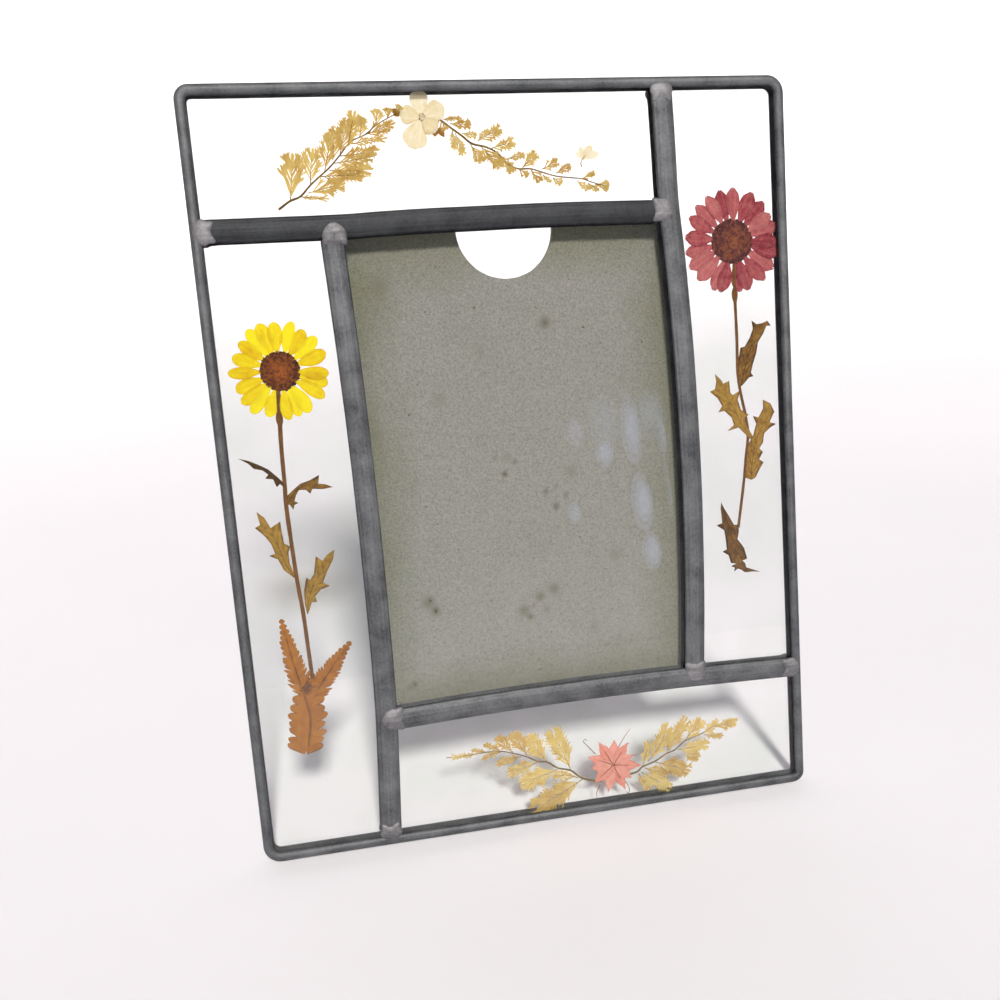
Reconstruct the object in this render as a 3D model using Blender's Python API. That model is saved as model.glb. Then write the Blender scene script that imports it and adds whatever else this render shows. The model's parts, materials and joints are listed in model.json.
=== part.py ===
"""Standing leaded-glass picture frame with pressed flowers sealed in its border panels.

The frame is modelled upright, x to the right, y to the back and z up along the glass, in
millimetres. One empty then leans it back, stands it on the ground and centres it.
"""
import math

import bmesh
import bpy
from mathutils import Matrix, Vector

MM = 0.001

# Driving dimensions, in millimetres and degrees.
WIDTH = 154.0
HEIGHT = 196.0
LEAN = 15.0
CORNER_RADII = {"bottom_left": 4.5, "bottom_right": 3.2, "top_right": 4.5, "top_left": 3.6}

# Lead came. Depths are measured from the middle of the frame's thickness.
EDGE_FACE = 2.6
EDGE_HEART = 1.0
BAR_FACE = 5.7
BAR_HEART = 1.2
CHANNEL_DEPTH = 2.05
LIP_DEPTH = 2.75
CROWN_DEPTH = 3.2
GAP = 0.3

# Glass: two panes with the plants between them, and one thicker pane over the picture.
PANE = 1.5
PLANT_SPACE = 0.6
PLANT = 0.2
PICTURE_GLASS = 2.0

# Each bar runs straight from the edge came to the T joint with its neighbour, then bows along
# the picture glass to its far end. Places are (along the bar, across it); the bow is across it.
BARS = {
    "top_bar": {"along": "x", "near": (-74.1, 162.2), "joint": (-43.0, 162.2),
                "far": (40.7, 162.7), "bow": 0.6},
    "right_bar": {"along": "z", "near": (193.1, 43.4), "joint": (165.0, 44.0),
                  "far": (38.7, 45.1), "bow": 2.2},
    "bottom_bar": {"along": "x", "near": (74.1, 34.8), "joint": (45.0, 35.6),
                   "far": (-38.4, 34.7), "bow": 0.75},
    "left_bar": {"along": "z", "near": (2.9, -43.4), "joint": (35.0, -41.6),
                 "far": (159.0, -43.5), "bow": 1.15},
}

# Solder joints: name, place (x, z) and half sizes across and up.
SOLDER_JOINTS = [
    ("left_edge", -74.0, 162.0, 2.8, 3.6),
    ("top_edge", 43.3, 192.7, 3.6, 2.4),
    ("right_edge", 74.1, 34.9, 2.8, 3.4),
    ("bottom_edge", -43.4, 3.5, 3.6, 2.4),
    ("top_left", -42.9, 160.6, 3.6, 3.3),
    ("top_right", 42.3, 163.0, 3.3, 3.6),
    ("bottom_right", 45.2, 37.2, 3.6, 3.3),
    ("bottom_left", -40.2, 35.0, 3.4, 3.6),
]
SOLDER_RISE = 0.5

# Backing board for a 3.5 by 5 inch print, with a half-round thumb notch in its top edge.
BOARD_SIZE = (89.0, 127.0)
BOARD_CENTRE_X = 2.2
BOARD_BOTTOM = 34.0
BOARD_FACE = 4.2
BOARD = 2.0
NOTCH_RADIUS = 12.8
NOTCH_X = 0.8

# Rails round the board, the strap across its back and the wire stand that swings under it.
SHEET = 0.8
RAIL_LIP = 2.4
RAIL_SPAN = (40.0, 150.0)
RAIL_INSET = 7.0
STRAP_SPAN = (134.0, 142.0)
STRAP = 1.0
TUBE_OUTER = 2.0
TUBE_BORE = 1.5
TUBE_SPAN = (15.0, 22.0)
WIRE = 1.2
LEG_X = 26.0
STUB_X = 16.0
TOP_BEND = 3.5
FOOT_BEND = 8.0
STAND_OPEN = 22.0

# Places that follow from the dimensions above.
EDGE_X = WIDTH / 2
PANE_INSET = EDGE_HEART + GAP
PANE_TO_BAR = BAR_HEART / 2 + GAP
STACK = PLANT_SPACE / 2 + PANE
BOARD_BACK = BOARD_FACE + BOARD
RAIL_FRONT = CROWN_DEPTH + GAP
LIP_FRONT = BOARD_BACK + GAP
STRAP_FRONT = LIP_FRONT + SHEET + GAP
PIVOT_Y = STRAP_FRONT + STRAP + GAP + TUBE_OUTER
PIVOT_Z = sum(STRAP_SPAN) / 2
EDGE_FLAT = 2.2


def clear_scene():
    for obj in list(bpy.data.objects):
        bpy.data.objects.remove(obj, do_unlink=True)


def make_material(name, colour, roughness, metallic=0.0, transmission=0.0):
    material = bpy.data.materials.new(name)
    material.use_nodes = True
    shader = material.node_tree.nodes["Principled BSDF"]
    shader.inputs["Base Color"].default_value = (*colour, 1.0)
    shader.inputs["Roughness"].default_value = roughness
    shader.inputs["Metallic"].default_value = metallic
    shader.inputs["Transmission Weight"].default_value = transmission
    return material


def make_materials():
    return {
        "lead": make_material("lead", (0.11, 0.11, 0.115), 0.5, 1.0),
        "solder": make_material("solder", (0.27, 0.27, 0.27), 0.45, 1.0),
        "glass": make_material("glass", (0.95, 0.98, 0.96), 0.02, 0.0, 1.0),
        "board": make_material("board", (0.30, 0.29, 0.24), 0.9),
        "steel": make_material("steel", (0.45, 0.45, 0.44), 0.35, 1.0),
        "yellow_petal": make_material("yellow_petal", (0.95, 0.75, 0.02), 0.8),
        "red_petal": make_material("red_petal", (0.50, 0.07, 0.08), 0.8),
        "cream_petal": make_material("cream_petal", (0.85, 0.75, 0.48), 0.8),
        "pink_petal": make_material("pink_petal", (0.93, 0.38, 0.30), 0.8),
        "disc": make_material("disc", (0.13, 0.04, 0.01), 0.9),
        "stem": make_material("stem", (0.30, 0.15, 0.04), 0.8),
        "leaf": make_material("leaf", (0.42, 0.23, 0.03), 0.8),
        "fern": make_material("fern", (0.62, 0.42, 0.10), 0.8),
        "rust_fern": make_material("rust_fern", (0.52, 0.16, 0.03), 0.8),
    }


def add_object(name, bm, material, parent, smooth=False):
    """Turn a finished bmesh, given in millimetres, into a named object under the frame."""
    bmesh.ops.recalc_face_normals(bm, faces=bm.faces)
    bmesh.ops.transform(bm, matrix=Matrix.Scale(MM, 4), verts=bm.verts)
    mesh = bpy.data.meshes.new(name)
    bm.to_mesh(mesh)
    bm.free()
    mesh.materials.append(material)
    if smooth:
        mesh.shade_smooth()
        mesh.set_sharp_from_angle(angle=math.radians(35))
    obj = bpy.data.objects.new(name, mesh)
    obj.parent = parent
    bpy.context.scene.collection.objects.link(obj)
    return obj


def plate(name, outline, front, back, material, parent):
    """A flat piece: an outline in the plane of the glass, as thick as back minus front."""
    bm = bmesh.new()
    corners = [bm.verts.new((x, front, z)) for x, z in outline]
    face = bm.faces.new(corners)
    grown = bmesh.ops.extrude_face_region(bm, geom=[face])
    new_verts = [item for item in grown["geom"] if isinstance(item, bmesh.types.BMVert)]
    bmesh.ops.translate(bm, verts=new_verts, vec=(0, back - front, 0))
    return add_object(name, bm, material, parent)


def sweep(name, profile, sections, material, parent, closed=False, smooth=True):
    """Carry a closed profile through sections, each a function of the profile's two numbers."""
    bm = bmesh.new()
    rings = [[bm.verts.new(place(a, b)) for a, b in profile] for place in sections]
    pairs = list(zip(rings, rings[1:]))
    if closed:
        pairs.append((rings[-1], rings[0]))
    for first, second in pairs:
        for i in range(len(profile)):
            j = (i + 1) % len(profile)
            bm.faces.new((first[i], first[j], second[j], second[i]))
    if not closed:
        bm.faces.new(rings[0])
        bm.faces.new(rings[-1])
    return add_object(name, bm, material, parent, smooth)


def spread(low, high, count):
    return [low + (high - low) * i / (count - 1) for i in range(count)]


# Lead came

def across(bar, along):
    """How far across the frame a bar's centre line lies, at a place along it."""
    (near, near_across), (joint, joint_across) = bar["near"], bar["joint"]
    far, far_across = bar["far"]
    share = (along - joint) / (far - joint)
    if share < 0:
        share = (along - joint) / (near - joint)
        return joint_across + (near_across - joint_across) * share
    bow = 4 * bar["bow"] * share * (1 - share)
    return joint_across + (far_across - joint_across) * share + bow


def bar_section(bar, along):
    """A cut through a bar: a is across the bar in the plane of the glass, b is its depth."""
    step = 0.5
    slope = (across(bar, along + step) - across(bar, along - step)) / (2 * step)
    if along in (bar["near"][0], bar["far"][0]):
        slope = 0.0
    length = math.hypot(1, slope)
    if bar["along"] == "x":
        return lambda a, b: (along - a * slope / length, b, across(bar, along) + a / length)
    return lambda a, b: (across(bar, along) + a / length, b, along - a * slope / length)


def bar_profile():
    """H came: two crowned faces joined by a heart that stands between the panes."""
    half, heart = BAR_FACE / 2, BAR_HEART / 2
    face = [(half, LIP_DEPTH), (half * 0.6, CROWN_DEPTH - 0.12), (0.0, CROWN_DEPTH)]
    face += [(-half * 0.6, CROWN_DEPTH - 0.12), (-half, LIP_DEPTH)]
    side = [(-half, CHANNEL_DEPTH), (-heart, CHANNEL_DEPTH)]
    back = [(a, -b) for a, b in reversed(side)]
    rear = [(a, -b) for a, b in reversed(face)]
    other = [(-a, -b) for a, b in side]
    last = [(-a, b) for a, b in reversed(side)]
    return face + side + back + rear + other + last


def make_bars(materials, parent):
    for name, bar in BARS.items():
        places = spread(bar["near"][0], bar["joint"][0], 3)[:-1]
        places += spread(bar["joint"][0], bar["far"][0], 9)
        sections = [bar_section(bar, along) for along in places]
        sweep(name, bar_profile(), sections, materials["lead"], parent)


def edge_profile():
    """U came: a outside wall, and two lips that hold the panes' edges; a is the inset."""
    lip = [(0.0, EDGE_FLAT), (0.35, LIP_DEPTH), (1.3, CROWN_DEPTH - 0.1), (EDGE_FACE, LIP_DEPTH)]
    lip += [(EDGE_FACE, CHANNEL_DEPTH), (EDGE_HEART, CHANNEL_DEPTH)]
    return lip + [(a, -b) for a, b in reversed(lip)]


def corner_centres():
    radius = CORNER_RADII
    return [
        (EDGE_X - radius["bottom_right"], radius["bottom_right"], -90, radius["bottom_right"]),
        (EDGE_X - radius["top_right"], HEIGHT - radius["top_right"], 0, radius["top_right"]),
        (radius["top_left"] - EDGE_X, HEIGHT - radius["top_left"], 90, radius["top_left"]),
        (radius["bottom_left"] - EDGE_X, radius["bottom_left"], 180, radius["bottom_left"]),
    ]


def edge_section(centre_x, centre_z, radius, angle):
    turn = math.radians(angle)
    return lambda a, b: (centre_x + (radius - a) * math.cos(turn), b,
                         centre_z + (radius - a) * math.sin(turn))


def make_edge(materials, parent):
    sections = []
    for centre_x, centre_z, start, radius in corner_centres():
        for turn in spread(start, start + 90, 6):
            sections.append(edge_section(centre_x, centre_z, radius, turn))
    sweep("edge_came", edge_profile(), sections, materials["lead"], parent, closed=True)


def make_solder(materials, parent):
    """A low dome over each joint, in front and behind."""
    sides = 12
    for label, x, z, half_x, half_z in SOLDER_JOINTS:
        for where, facing in (("front", -1), ("back", 1)):
            bm = bmesh.new()
            rings = []
            for size, rise in ((1.0, 0.0), (0.85, 0.5), (0.5, 0.85)):
                depth = facing * (CROWN_DEPTH + GAP + SOLDER_RISE * rise)
                ring = []
                for i in range(sides):
                    angle = 2 * math.pi * i / sides
                    ring.append(bm.verts.new((x + half_x * size * math.cos(angle), depth,
                                              z + half_z * size * math.sin(angle))))
                rings.append(ring)
            for first, second in zip(rings, rings[1:]):
                for i in range(sides):
                    j = (i + 1) % sides
                    bm.faces.new((first[i], first[j], second[j], second[i]))
            top = bm.verts.new((x, facing * (CROWN_DEPTH + GAP + SOLDER_RISE), z))
            for i in range(sides):
                bm.faces.new((rings[-1][i], rings[-1][(i + 1) % sides], top))
            bm.faces.new(rings[0])
            add_object(f"solder_{label}_{where}", bm, materials["solder"], parent, smooth=True)


# Glass

def corner_of(side_x, side_z):
    """Where an upright side and a level side meet, found by going back and forth."""
    x, z = side_x(HEIGHT / 2), side_z(0.0)
    for _ in range(6):
        x, z = side_x(z), side_z(x)
    return x, z


def pane_outline(left, right, bottom, top, rounded=None):
    """An outline between two upright sides, x of z, and two level sides, z of x."""
    low_left, low_right = corner_of(left, bottom), corner_of(right, bottom)
    high_left, high_right = corner_of(left, top), corner_of(right, top)
    steps = 7
    outline = [(x, bottom(x)) for x in spread(low_left[0], low_right[0], steps)[:-1]]
    outline += [(right(z), z) for z in spread(low_right[1], high_right[1], steps)[:-1]]
    outline += [(x, top(x)) for x in spread(high_right[0], high_left[0], steps)[:-1]]
    outline += [(left(z), z) for z in spread(high_left[1], low_left[1], steps)[:-1]]
    if rounded is None:
        return outline
    index = rounded * (steps - 1)
    centre_x, centre_z, start, radius = corner_centres()[rounded - 1]
    arc = []
    for turn in spread(start, start + 90, 5):
        reach = radius - PANE_INSET
        arc.append((centre_x + reach * math.cos(math.radians(turn)),
                    centre_z + reach * math.sin(math.radians(turn))))
    return outline[:index] + arc + outline[index + 1:]


def beside(bar_name, offset):
    """The side of a pane that runs beside a bar, a fixed distance from its centre line."""
    return lambda along: across(BARS[bar_name], along) + offset


def panel_outlines():
    low = lambda x: PANE_INSET
    high = lambda x: HEIGHT - PANE_INSET
    left = lambda z: PANE_INSET - EDGE_X
    right = lambda z: EDGE_X - PANE_INSET
    step = PANE_TO_BAR
    return {
        "top": pane_outline(left, beside("right_bar", -step), beside("top_bar", step), high, 3),
        "right": pane_outline(beside("right_bar", step), right, beside("bottom_bar", step), high, 2),
        "bottom": pane_outline(beside("left_bar", step), right, low, beside("bottom_bar", -step), 1),
        "left": pane_outline(left, beside("left_bar", -step), low, beside("top_bar", -step), 4),
    }


def make_glass(materials, parent):
    inner = PLANT_SPACE / 2
    for label, outline in panel_outlines().items():
        plate(f"{label}_glass_front", outline, -STACK, -inner, materials["glass"], parent)
        plate(f"{label}_glass_back", outline, inner, STACK, materials["glass"], parent)
    step = PANE_TO_BAR
    outline = pane_outline(beside("left_bar", step), beside("right_bar", -step),
                           beside("bottom_bar", step), beside("top_bar", -step))
    plate("picture_glass", outline, -STACK, PICTURE_GLASS - STACK, materials["glass"], parent)


# Back: board, rails, strap and wire stand

def make_board(materials, parent):
    left = BOARD_CENTRE_X - BOARD_SIZE[0] / 2
    right = BOARD_CENTRE_X + BOARD_SIZE[0] / 2
    top = BOARD_BOTTOM + BOARD_SIZE[1]
    outline = [(left, top), (left, BOARD_BOTTOM), (right, BOARD_BOTTOM), (right, top)]
    for angle in spread(0, -180, 15):
        turn = math.radians(angle)
        outline.append((NOTCH_X + NOTCH_RADIUS * math.cos(turn),
                        top + NOTCH_RADIUS * math.sin(turn)))
    plate("backing_board", outline, BOARD_FACE, BOARD_BACK, materials["board"], parent)


def rail_profile():
    """An L: a wall beside the board and a lip behind it; a is measured over the board."""
    return [(-GAP - SHEET, RAIL_FRONT), (-GAP, RAIL_FRONT), (-GAP, LIP_FRONT),
            (RAIL_LIP - SHEET, LIP_FRONT), (RAIL_LIP - SHEET, LIP_FRONT + SHEET),
            (-GAP - SHEET, LIP_FRONT + SHEET)]


def make_rails(materials, parent):
    left = BOARD_CENTRE_X - BOARD_SIZE[0] / 2
    right = BOARD_CENTRE_X + BOARD_SIZE[0] / 2
    for name, edge, inward in (("left_rail", left, 1), ("right_rail", right, -1)):
        sections = [lambda a, b, z=z, e=edge, w=inward: (e + w * a, b, z) for z in RAIL_SPAN]
        sweep(name, rail_profile(), sections, materials["steel"], parent, smooth=False)
    ends = (left + RAIL_INSET, right - RAIL_INSET)
    sections = [lambda a, b, x=x: (x, b, BOARD_BOTTOM + a) for x in ends]
    sweep("bottom_rail", rail_profile(), sections, materials["steel"], parent, smooth=False)
    ends = (left - GAP - SHEET, right + GAP + SHEET)
    outline = [(ends[0], STRAP_SPAN[0]), (ends[1], STRAP_SPAN[0]),
               (ends[1], STRAP_SPAN[1]), (ends[0], STRAP_SPAN[1])]
    plate("back_strap", outline, STRAP_FRONT, STRAP_FRONT + STRAP, materials["steel"], parent)


def circle(radius, count):
    turns = [2 * math.pi * (i + 0.5) / count for i in range(count)]
    return [(radius * math.cos(turn), radius * math.sin(turn)) for turn in turns]


def make_hinge_tubes(materials, parent):
    sides = 14
    for name, side in (("left_hinge_tube", -1), ("right_hinge_tube", 1)):
        ends = [side * x for x in TUBE_SPAN]
        bm = bmesh.new()
        rings = []
        for x, radius in ((ends[0], TUBE_OUTER), (ends[1], TUBE_OUTER),
                          (ends[1], TUBE_BORE), (ends[0], TUBE_BORE)):
            rings.append([bm.verts.new((x, PIVOT_Y + a, PIVOT_Z + b))
                          for a, b in circle(radius, sides)])
        for k in range(4):
            first, second = rings[k], rings[(k + 1) % 4]
            for i in range(sides):
                j = (i + 1) % sides
                bm.faces.new((first[i], first[j], second[j], second[i]))
        add_object(name, bm, materials["steel"], parent, smooth=True)


def ground_drop():
    """How far the frame's lowest edge lies below the middle of its foot, once it leans."""
    return EDGE_FLAT * math.sin(math.radians(LEAN))


def leg_length():
    """From the hinge to the wire's foot, so that the foot just rests on the ground."""
    lean = math.radians(LEAN)
    height = PIVOT_Z * math.cos(lean) - PIVOT_Y * math.sin(lean) + ground_drop()
    return (height - WIRE) / math.cos(math.radians(STAND_OPEN - LEAN))


def wire_route():
    """Points and directions along the wire, in its own plane: x, and z down from the hinge."""
    length = leg_length()
    bends = [(-LEG_X, 0.0, TOP_BEND, (-1, 0), (0, -1)),
             (-LEG_X, -length, FOOT_BEND, (0, -1), (1, 0)),
             (LEG_X, -length, FOOT_BEND, (1, 0), (0, 1)),
             (LEG_X, 0.0, TOP_BEND, (0, 1), (-1, 0))]
    route = [((-STUB_X, 0.0), (-1, 0))]
    for x, z, radius, before, after in bends:
        for turn in spread(0, 90, 5):
            s, c = math.sin(math.radians(turn)), math.cos(math.radians(turn))
            point = (x - radius * (1 - s) * before[0] + radius * (1 - c) * after[0],
                     z - radius * (1 - s) * before[1] + radius * (1 - c) * after[1])
            heading = (before[0] * c + after[0] * s, before[1] * c + after[1] * s)
            route.append((point, heading))
    route.append(((STUB_X, 0.0), (-1, 0)))
    return route


def make_stand(materials, parent):
    """A bent wire whose origin is on the hinge's axis, swung out to its open stop."""
    sections = []
    for (x, z), (dx, dz) in wire_route():
        sections.append(lambda a, b, x=x, z=z, dx=dx, dz=dz: (x - a * dz, b, z + a * dx))
    stand = sweep("wire_stand", circle(WIRE, 8), sections, materials["steel"], parent)
    stand.location = Vector((0, PIVOT_Y, PIVOT_Z)) * MM
    stand.rotation_euler = (math.radians(STAND_OPEN), 0, 0)


# Pressed plants, each a thin plate between the panes

def pressed(name, outline, material, parent):
    plate(name, outline, -PLANT / 2, PLANT / 2, material, parent)


def ray_ring(name, centre, tip, hole, count, material, parent):
    """Ray petals as one pressed ring: a round-toothed rim, open where the disc sits."""
    bm = bmesh.new()
    step = 2 * math.pi / count
    rim, inside = [], []
    for i in range(count):
        for share, reach in ((0.0, 0.84), (0.33, 1.0), (0.67, 1.0)):
            turn = (i + share) * step
            direction = Vector((math.cos(turn), 0, math.sin(turn)))
            middle = Vector((centre[0], -PLANT / 2, centre[1]))
            rim.append(bm.verts.new(middle + direction * tip * reach))
            inside.append(bm.verts.new(middle + direction * hole))
    faces = []
    for i in range(len(rim)):
        j = (i + 1) % len(rim)
        faces.append(bm.faces.new((rim[i], rim[j], inside[j], inside[i])))
    grown = bmesh.ops.extrude_face_region(bm, geom=faces)
    new_verts = [item for item in grown["geom"] if isinstance(item, bmesh.types.BMVert)]
    bmesh.ops.translate(bm, verts=new_verts, vec=(0, PLANT, 0))
    add_object(name, bm, material, parent)


def star(centre, tip, valley, count, turn=90.0, blunt=0.0):
    """A flower pressed flat: count petals, each pointed, or rounded by blunt."""
    outline = []
    step = 360.0 / count
    for i in range(count):
        marks = [(0.5, valley), (0.5 + 0.5 * (1 - blunt), tip * (1 - 0.1 * blunt))]
        if blunt:
            marks += [(1.0, tip), (1.5 - 0.5 * (1 - blunt), tip * (1 - 0.1 * blunt))]
        for share, reach in marks:
            angle = math.radians(turn + (i + share - 1) * step)
            outline.append((centre[0] + reach * math.cos(angle),
                            centre[1] + reach * math.sin(angle)))
    return outline


def spine(base, tip, bend, share):
    """A point on a bowed line from base to tip, and the line's left-hand normal there."""
    run = Vector(tip) - Vector(base)
    normal = Vector((-run.y, run.x)).normalized()
    point = Vector(base) + run * share + normal * 4 * bend * share * (1 - share)
    heading = (run + normal * 4 * bend * (1 - 2 * share)).normalized()
    return point, Vector((-heading.y, heading.x))


def blade(base, tip, width, bend, teeth, depth=0.45, fullest=0.4):
    """A toothed leaf or frond. Width swells to its fullest share, then tapers to the tip."""
    power = math.log(0.5) / math.log(fullest)
    marks = [(0.0, 0.15)]
    for i in range(teeth):
        low = (i + 0.25) / (teeth + 0.35)
        high = (i + 0.85) / (teeth + 0.35)
        marks += [(low, 1 - depth), (high, 1.0)]
    sides = {1: [], -1: []}
    for share, fill in marks:
        swell = math.sin(math.pi * max(share, 0.03) ** power) ** 0.75
        point, normal = spine(base, tip, bend, share)
        for side in sides:
            spot = point + normal * side * width / 2 * max(fill * swell, 0.12)
            sides[side].append((spot.x, spot.y))
    return sides[-1] + [tuple(tip)] + sides[1][::-1]


def strip(points, width):
    """A stem: a narrow band along a few points."""
    left, right = [], []
    for i, point in enumerate(points):
        before, after = Vector(points[max(i - 1, 0)]), Vector(points[min(i + 1, len(points) - 1)])
        heading = (after - before).normalized()
        normal = Vector((-heading.y, heading.x)) * width / 2
        left.append(tuple(Vector(point) + normal))
        right.append(tuple(Vector(point) - normal))
    return left + right[::-1]


def round_plate(name, centre, radius, thick, material, parent):
    outline = [(centre[0] + a, centre[1] + b) for a, b in circle(radius, 20)]
    plate(name, outline, -thick / 2, thick / 2, material, parent)


# Blades: name, material, base, tip, full width, bend to the left, teeth, fullest share.
YELLOW_LEAVES = [
    ("yellow_leaf_1", "leaf", (-62.5, 100.3), (-71.9, 107.4), 2.2, -1.2, 2, 0.4),
    ("yellow_leaf_2", "leaf", (-60.2, 94.6), (-49.8, 98.6), 4.2, 2.0, 2, 0.6),
    ("yellow_leaf_3", "leaf", (-62.4, 76.4), (-69.1, 93.2), 6.0, 1.0, 3, 0.5),
    ("yellow_leaf_4", "leaf", (-58.6, 67.4), (-51.2, 81.6), 6.0, -0.8, 3, 0.5),
]
RED_LEAVES = [
    ("red_leaf_1", "leaf", (63.5, 116.2), (72.2, 132.5), 6.0, -1.5, 4, 0.55),
    ("red_leaf_2", "leaf", (62.0, 102.6), (55.2, 119.9), 5.0, 0.4, 4, 0.5),
    ("red_leaf_3", "leaf", (64.5, 89.5), (69.4, 111.4), 5.6, -1.4, 4, 0.5),
    ("red_leaf_4", "leaf", (66.3, 63.8), (55.8, 84.0), 5.6, -1.0, 4, 0.45),
]
SPRIGS = [
    ("top_fern_left", "fern", (-55.6, 166.9), (-26.6, 190.0), 14.0, -2.2, 7, 0.42),
    ("top_fern_right", "fern", (-11.4, 185.4), (28.8, 169.6), 7.5, 1.0, 8, 0.5),
    ("bottom_fern_left", "fern", (11.2, 9.6), (-26.6, 21.2), 13.0, -1.0, 8, 0.33),
    ("bottom_fern_right", "fern", (28.6, 10.2), (58.0, 20.4), 11.0, 0.8, 7, 0.35),
]
YELLOW_STEM = [(-60.7, 115.0), (-61.0, 108.0), (-61.5, 98.0), (-61.5, 86.0), (-61.2, 75.5),
               (-60.2, 66.0), (-60.0, 57.0), (-60.2, 48.6)]
RED_STEM = [(62.2, 139.6), (62.1, 131.0), (61.9, 123.5), (62.5, 115.0), (63.6, 105.0),
            (63.6, 98.0), (62.8, 90.0), (61.4, 82.6)]
RUST_FERN = [(-60.3, 27.9), (-58.6, 31.5), (-60.0, 32.0), (-57.6, 35.2), (-59.2, 36.0),
             (-56.4, 39.2), (-58.2, 40.2), (-55.6, 43.4), (-56.8, 44.8), (-52.6, 47.6),
             (-54.0, 49.0), (-50.4, 51.6), (-51.4, 52.8), (-49.0, 56.1), (-53.6, 53.4),
             (-56.2, 50.6), (-60.3, 45.2), (-62.6, 50.8), (-63.2, 55.0), (-66.2, 64.0),
             (-66.6, 57.6), (-67.8, 56.0), (-66.8, 53.2), (-67.8, 51.0), (-66.4, 48.6),
             (-67.4, 45.2), (-65.6, 42.4), (-67.2, 40.0), (-65.8, 38.2), (-67.4, 35.8),
             (-66.0, 34.2), (-68.0, 31.4)]


def make_blades(blades, materials, parent):
    for name, material, base, tip, width, bend, teeth, fullest in blades:
        outline = blade(base, tip, width, bend, teeth, fullest=fullest)
        pressed(name, outline, materials[material], parent)


def make_daisy(label, centre, tip, disc, count, stem, leaves, materials, parent):
    ray_ring(f"{label}_petals", centre, tip, disc + GAP, count, materials[f"{label}_petal"], parent)
    round_plate(f"{label}_flower_disc", centre, disc, 2 * PLANT, materials["disc"], parent)
    pressed(f"{label}_stem", strip(stem, 1.0), materials["stem"], parent)
    make_blades(leaves, materials, parent)


def make_plants(materials, parent):
    make_daisy("yellow", (-59.5, 128.1), 12.8, 5.0, 20, YELLOW_STEM, YELLOW_LEAVES, materials, parent)
    pressed("yellow_rust_fern", RUST_FERN, materials["rust_fern"], parent)
    make_daisy("red", (61.8, 154.3), 14.2, 5.9, 21, RED_STEM, RED_LEAVES, materials, parent)
    make_blades(SPRIGS, materials, parent)
    cream = star((-18.9, 187.3), 6.6, 2.4, 5, blunt=0.6)
    pressed("top_cream_flower", cream, materials["cream_petal"], parent)
    floret = star((24.2, 178.0), 2.2, 0.9, 5, blunt=0.5)
    pressed("top_floret", floret, materials["cream_petal"], parent)
    pink = star((19.9, 12.5), 7.8, 4.4, 9, turn=80)
    pressed("bottom_pink_flower", pink, materials["pink_petal"], parent)


def stand_on_ground(frame):
    """Lean the frame back, then move it so that its box stands centred on the origin."""
    frame.rotation_euler = (math.radians(-LEAN), 0, 0)
    bpy.context.view_layer.update()
    corners = []
    for obj in bpy.data.objects:
        if obj.type == "MESH":
            corners += [obj.matrix_world @ vert.co for vert in obj.data.vertices]
    low = [min(corner[i] for corner in corners) for i in range(3)]
    high = [max(corner[i] for corner in corners) for i in range(3)]
    frame.location = (-(low[0] + high[0]) / 2, -(low[1] + high[1]) / 2, -low[2])


def main():
    clear_scene()
    materials = make_materials()
    frame = bpy.data.objects.new("leaning_frame", None)
    bpy.context.scene.collection.objects.link(frame)
    make_edge(materials, frame)
    make_bars(materials, frame)
    make_solder(materials, frame)
    make_glass(materials, frame)
    make_board(materials, frame)
    make_rails(materials, frame)
    make_hinge_tubes(materials, frame)
    make_stand(materials, frame)
    make_plants(materials, frame)
    stand_on_ground(frame)


main()
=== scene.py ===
"""Looks of a small leaded-glass picture frame with pressed flowers sealed in its border.

Shapes are worked out upright, in millimetres: x to the right, y to the back and z up along the
glass, with y = 0 halfway between the two panes. leaned() then puts them where the frame stands.
"""

import json
import math

import bmesh
import bpy
import numpy as np
from bpy.props import FloatProperty, FloatVectorProperty, IntProperty, PointerProperty
from mathutils import Matrix


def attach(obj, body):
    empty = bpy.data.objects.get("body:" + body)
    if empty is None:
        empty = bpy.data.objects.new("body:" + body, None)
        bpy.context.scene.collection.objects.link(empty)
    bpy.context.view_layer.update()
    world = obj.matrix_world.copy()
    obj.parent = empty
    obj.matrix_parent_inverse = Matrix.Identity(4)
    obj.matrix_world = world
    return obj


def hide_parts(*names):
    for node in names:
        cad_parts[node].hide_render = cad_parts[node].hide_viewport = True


bl_info = {
    "name": "Pressed flower frame",
    "version": (1, 0, 0),
    "blender": (4, 5, 0),
    "location": "View3D > Sidebar > Pressed Flowers",
    "description": "Dresses a leaded picture frame with pressed flowers, glass and a wire stand",
    "category": "Object",
}

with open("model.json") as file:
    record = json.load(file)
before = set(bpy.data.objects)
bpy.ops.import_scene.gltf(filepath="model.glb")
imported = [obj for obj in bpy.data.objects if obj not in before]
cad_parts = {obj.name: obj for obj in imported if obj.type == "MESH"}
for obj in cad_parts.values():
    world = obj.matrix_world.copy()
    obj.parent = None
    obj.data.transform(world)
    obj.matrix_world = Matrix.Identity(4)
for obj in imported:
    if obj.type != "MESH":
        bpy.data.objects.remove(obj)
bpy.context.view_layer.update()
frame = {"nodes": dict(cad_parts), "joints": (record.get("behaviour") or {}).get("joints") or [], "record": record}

MM = 0.001
FOOT = frame["record"]["mounts"][0]
LEAN_SIN, LEAN_COS = -FOOT["axis"][1], -FOOT["axis"][2]
PIVOT = np.array(frame["joints"][0]["pos_m"])
FACING = np.array([0.0, 1.0, 0.0])

# Lead came, in millimetres from the middle of the frame's thickness.
LIP, CROWN = 2.05, 3.15
BAR_HALF, BAR_HEART = 2.85, 0.6
EDGE_HALF, EDGE_HEART = 1.3, 1.0
CORNER_RADII = (3.2, 4.5, 3.6, 4.5)
SOLDER_FOOT, SOLDER_RISE, SOLDER_ROOT = 2.7, 0.78, 2.3

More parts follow.
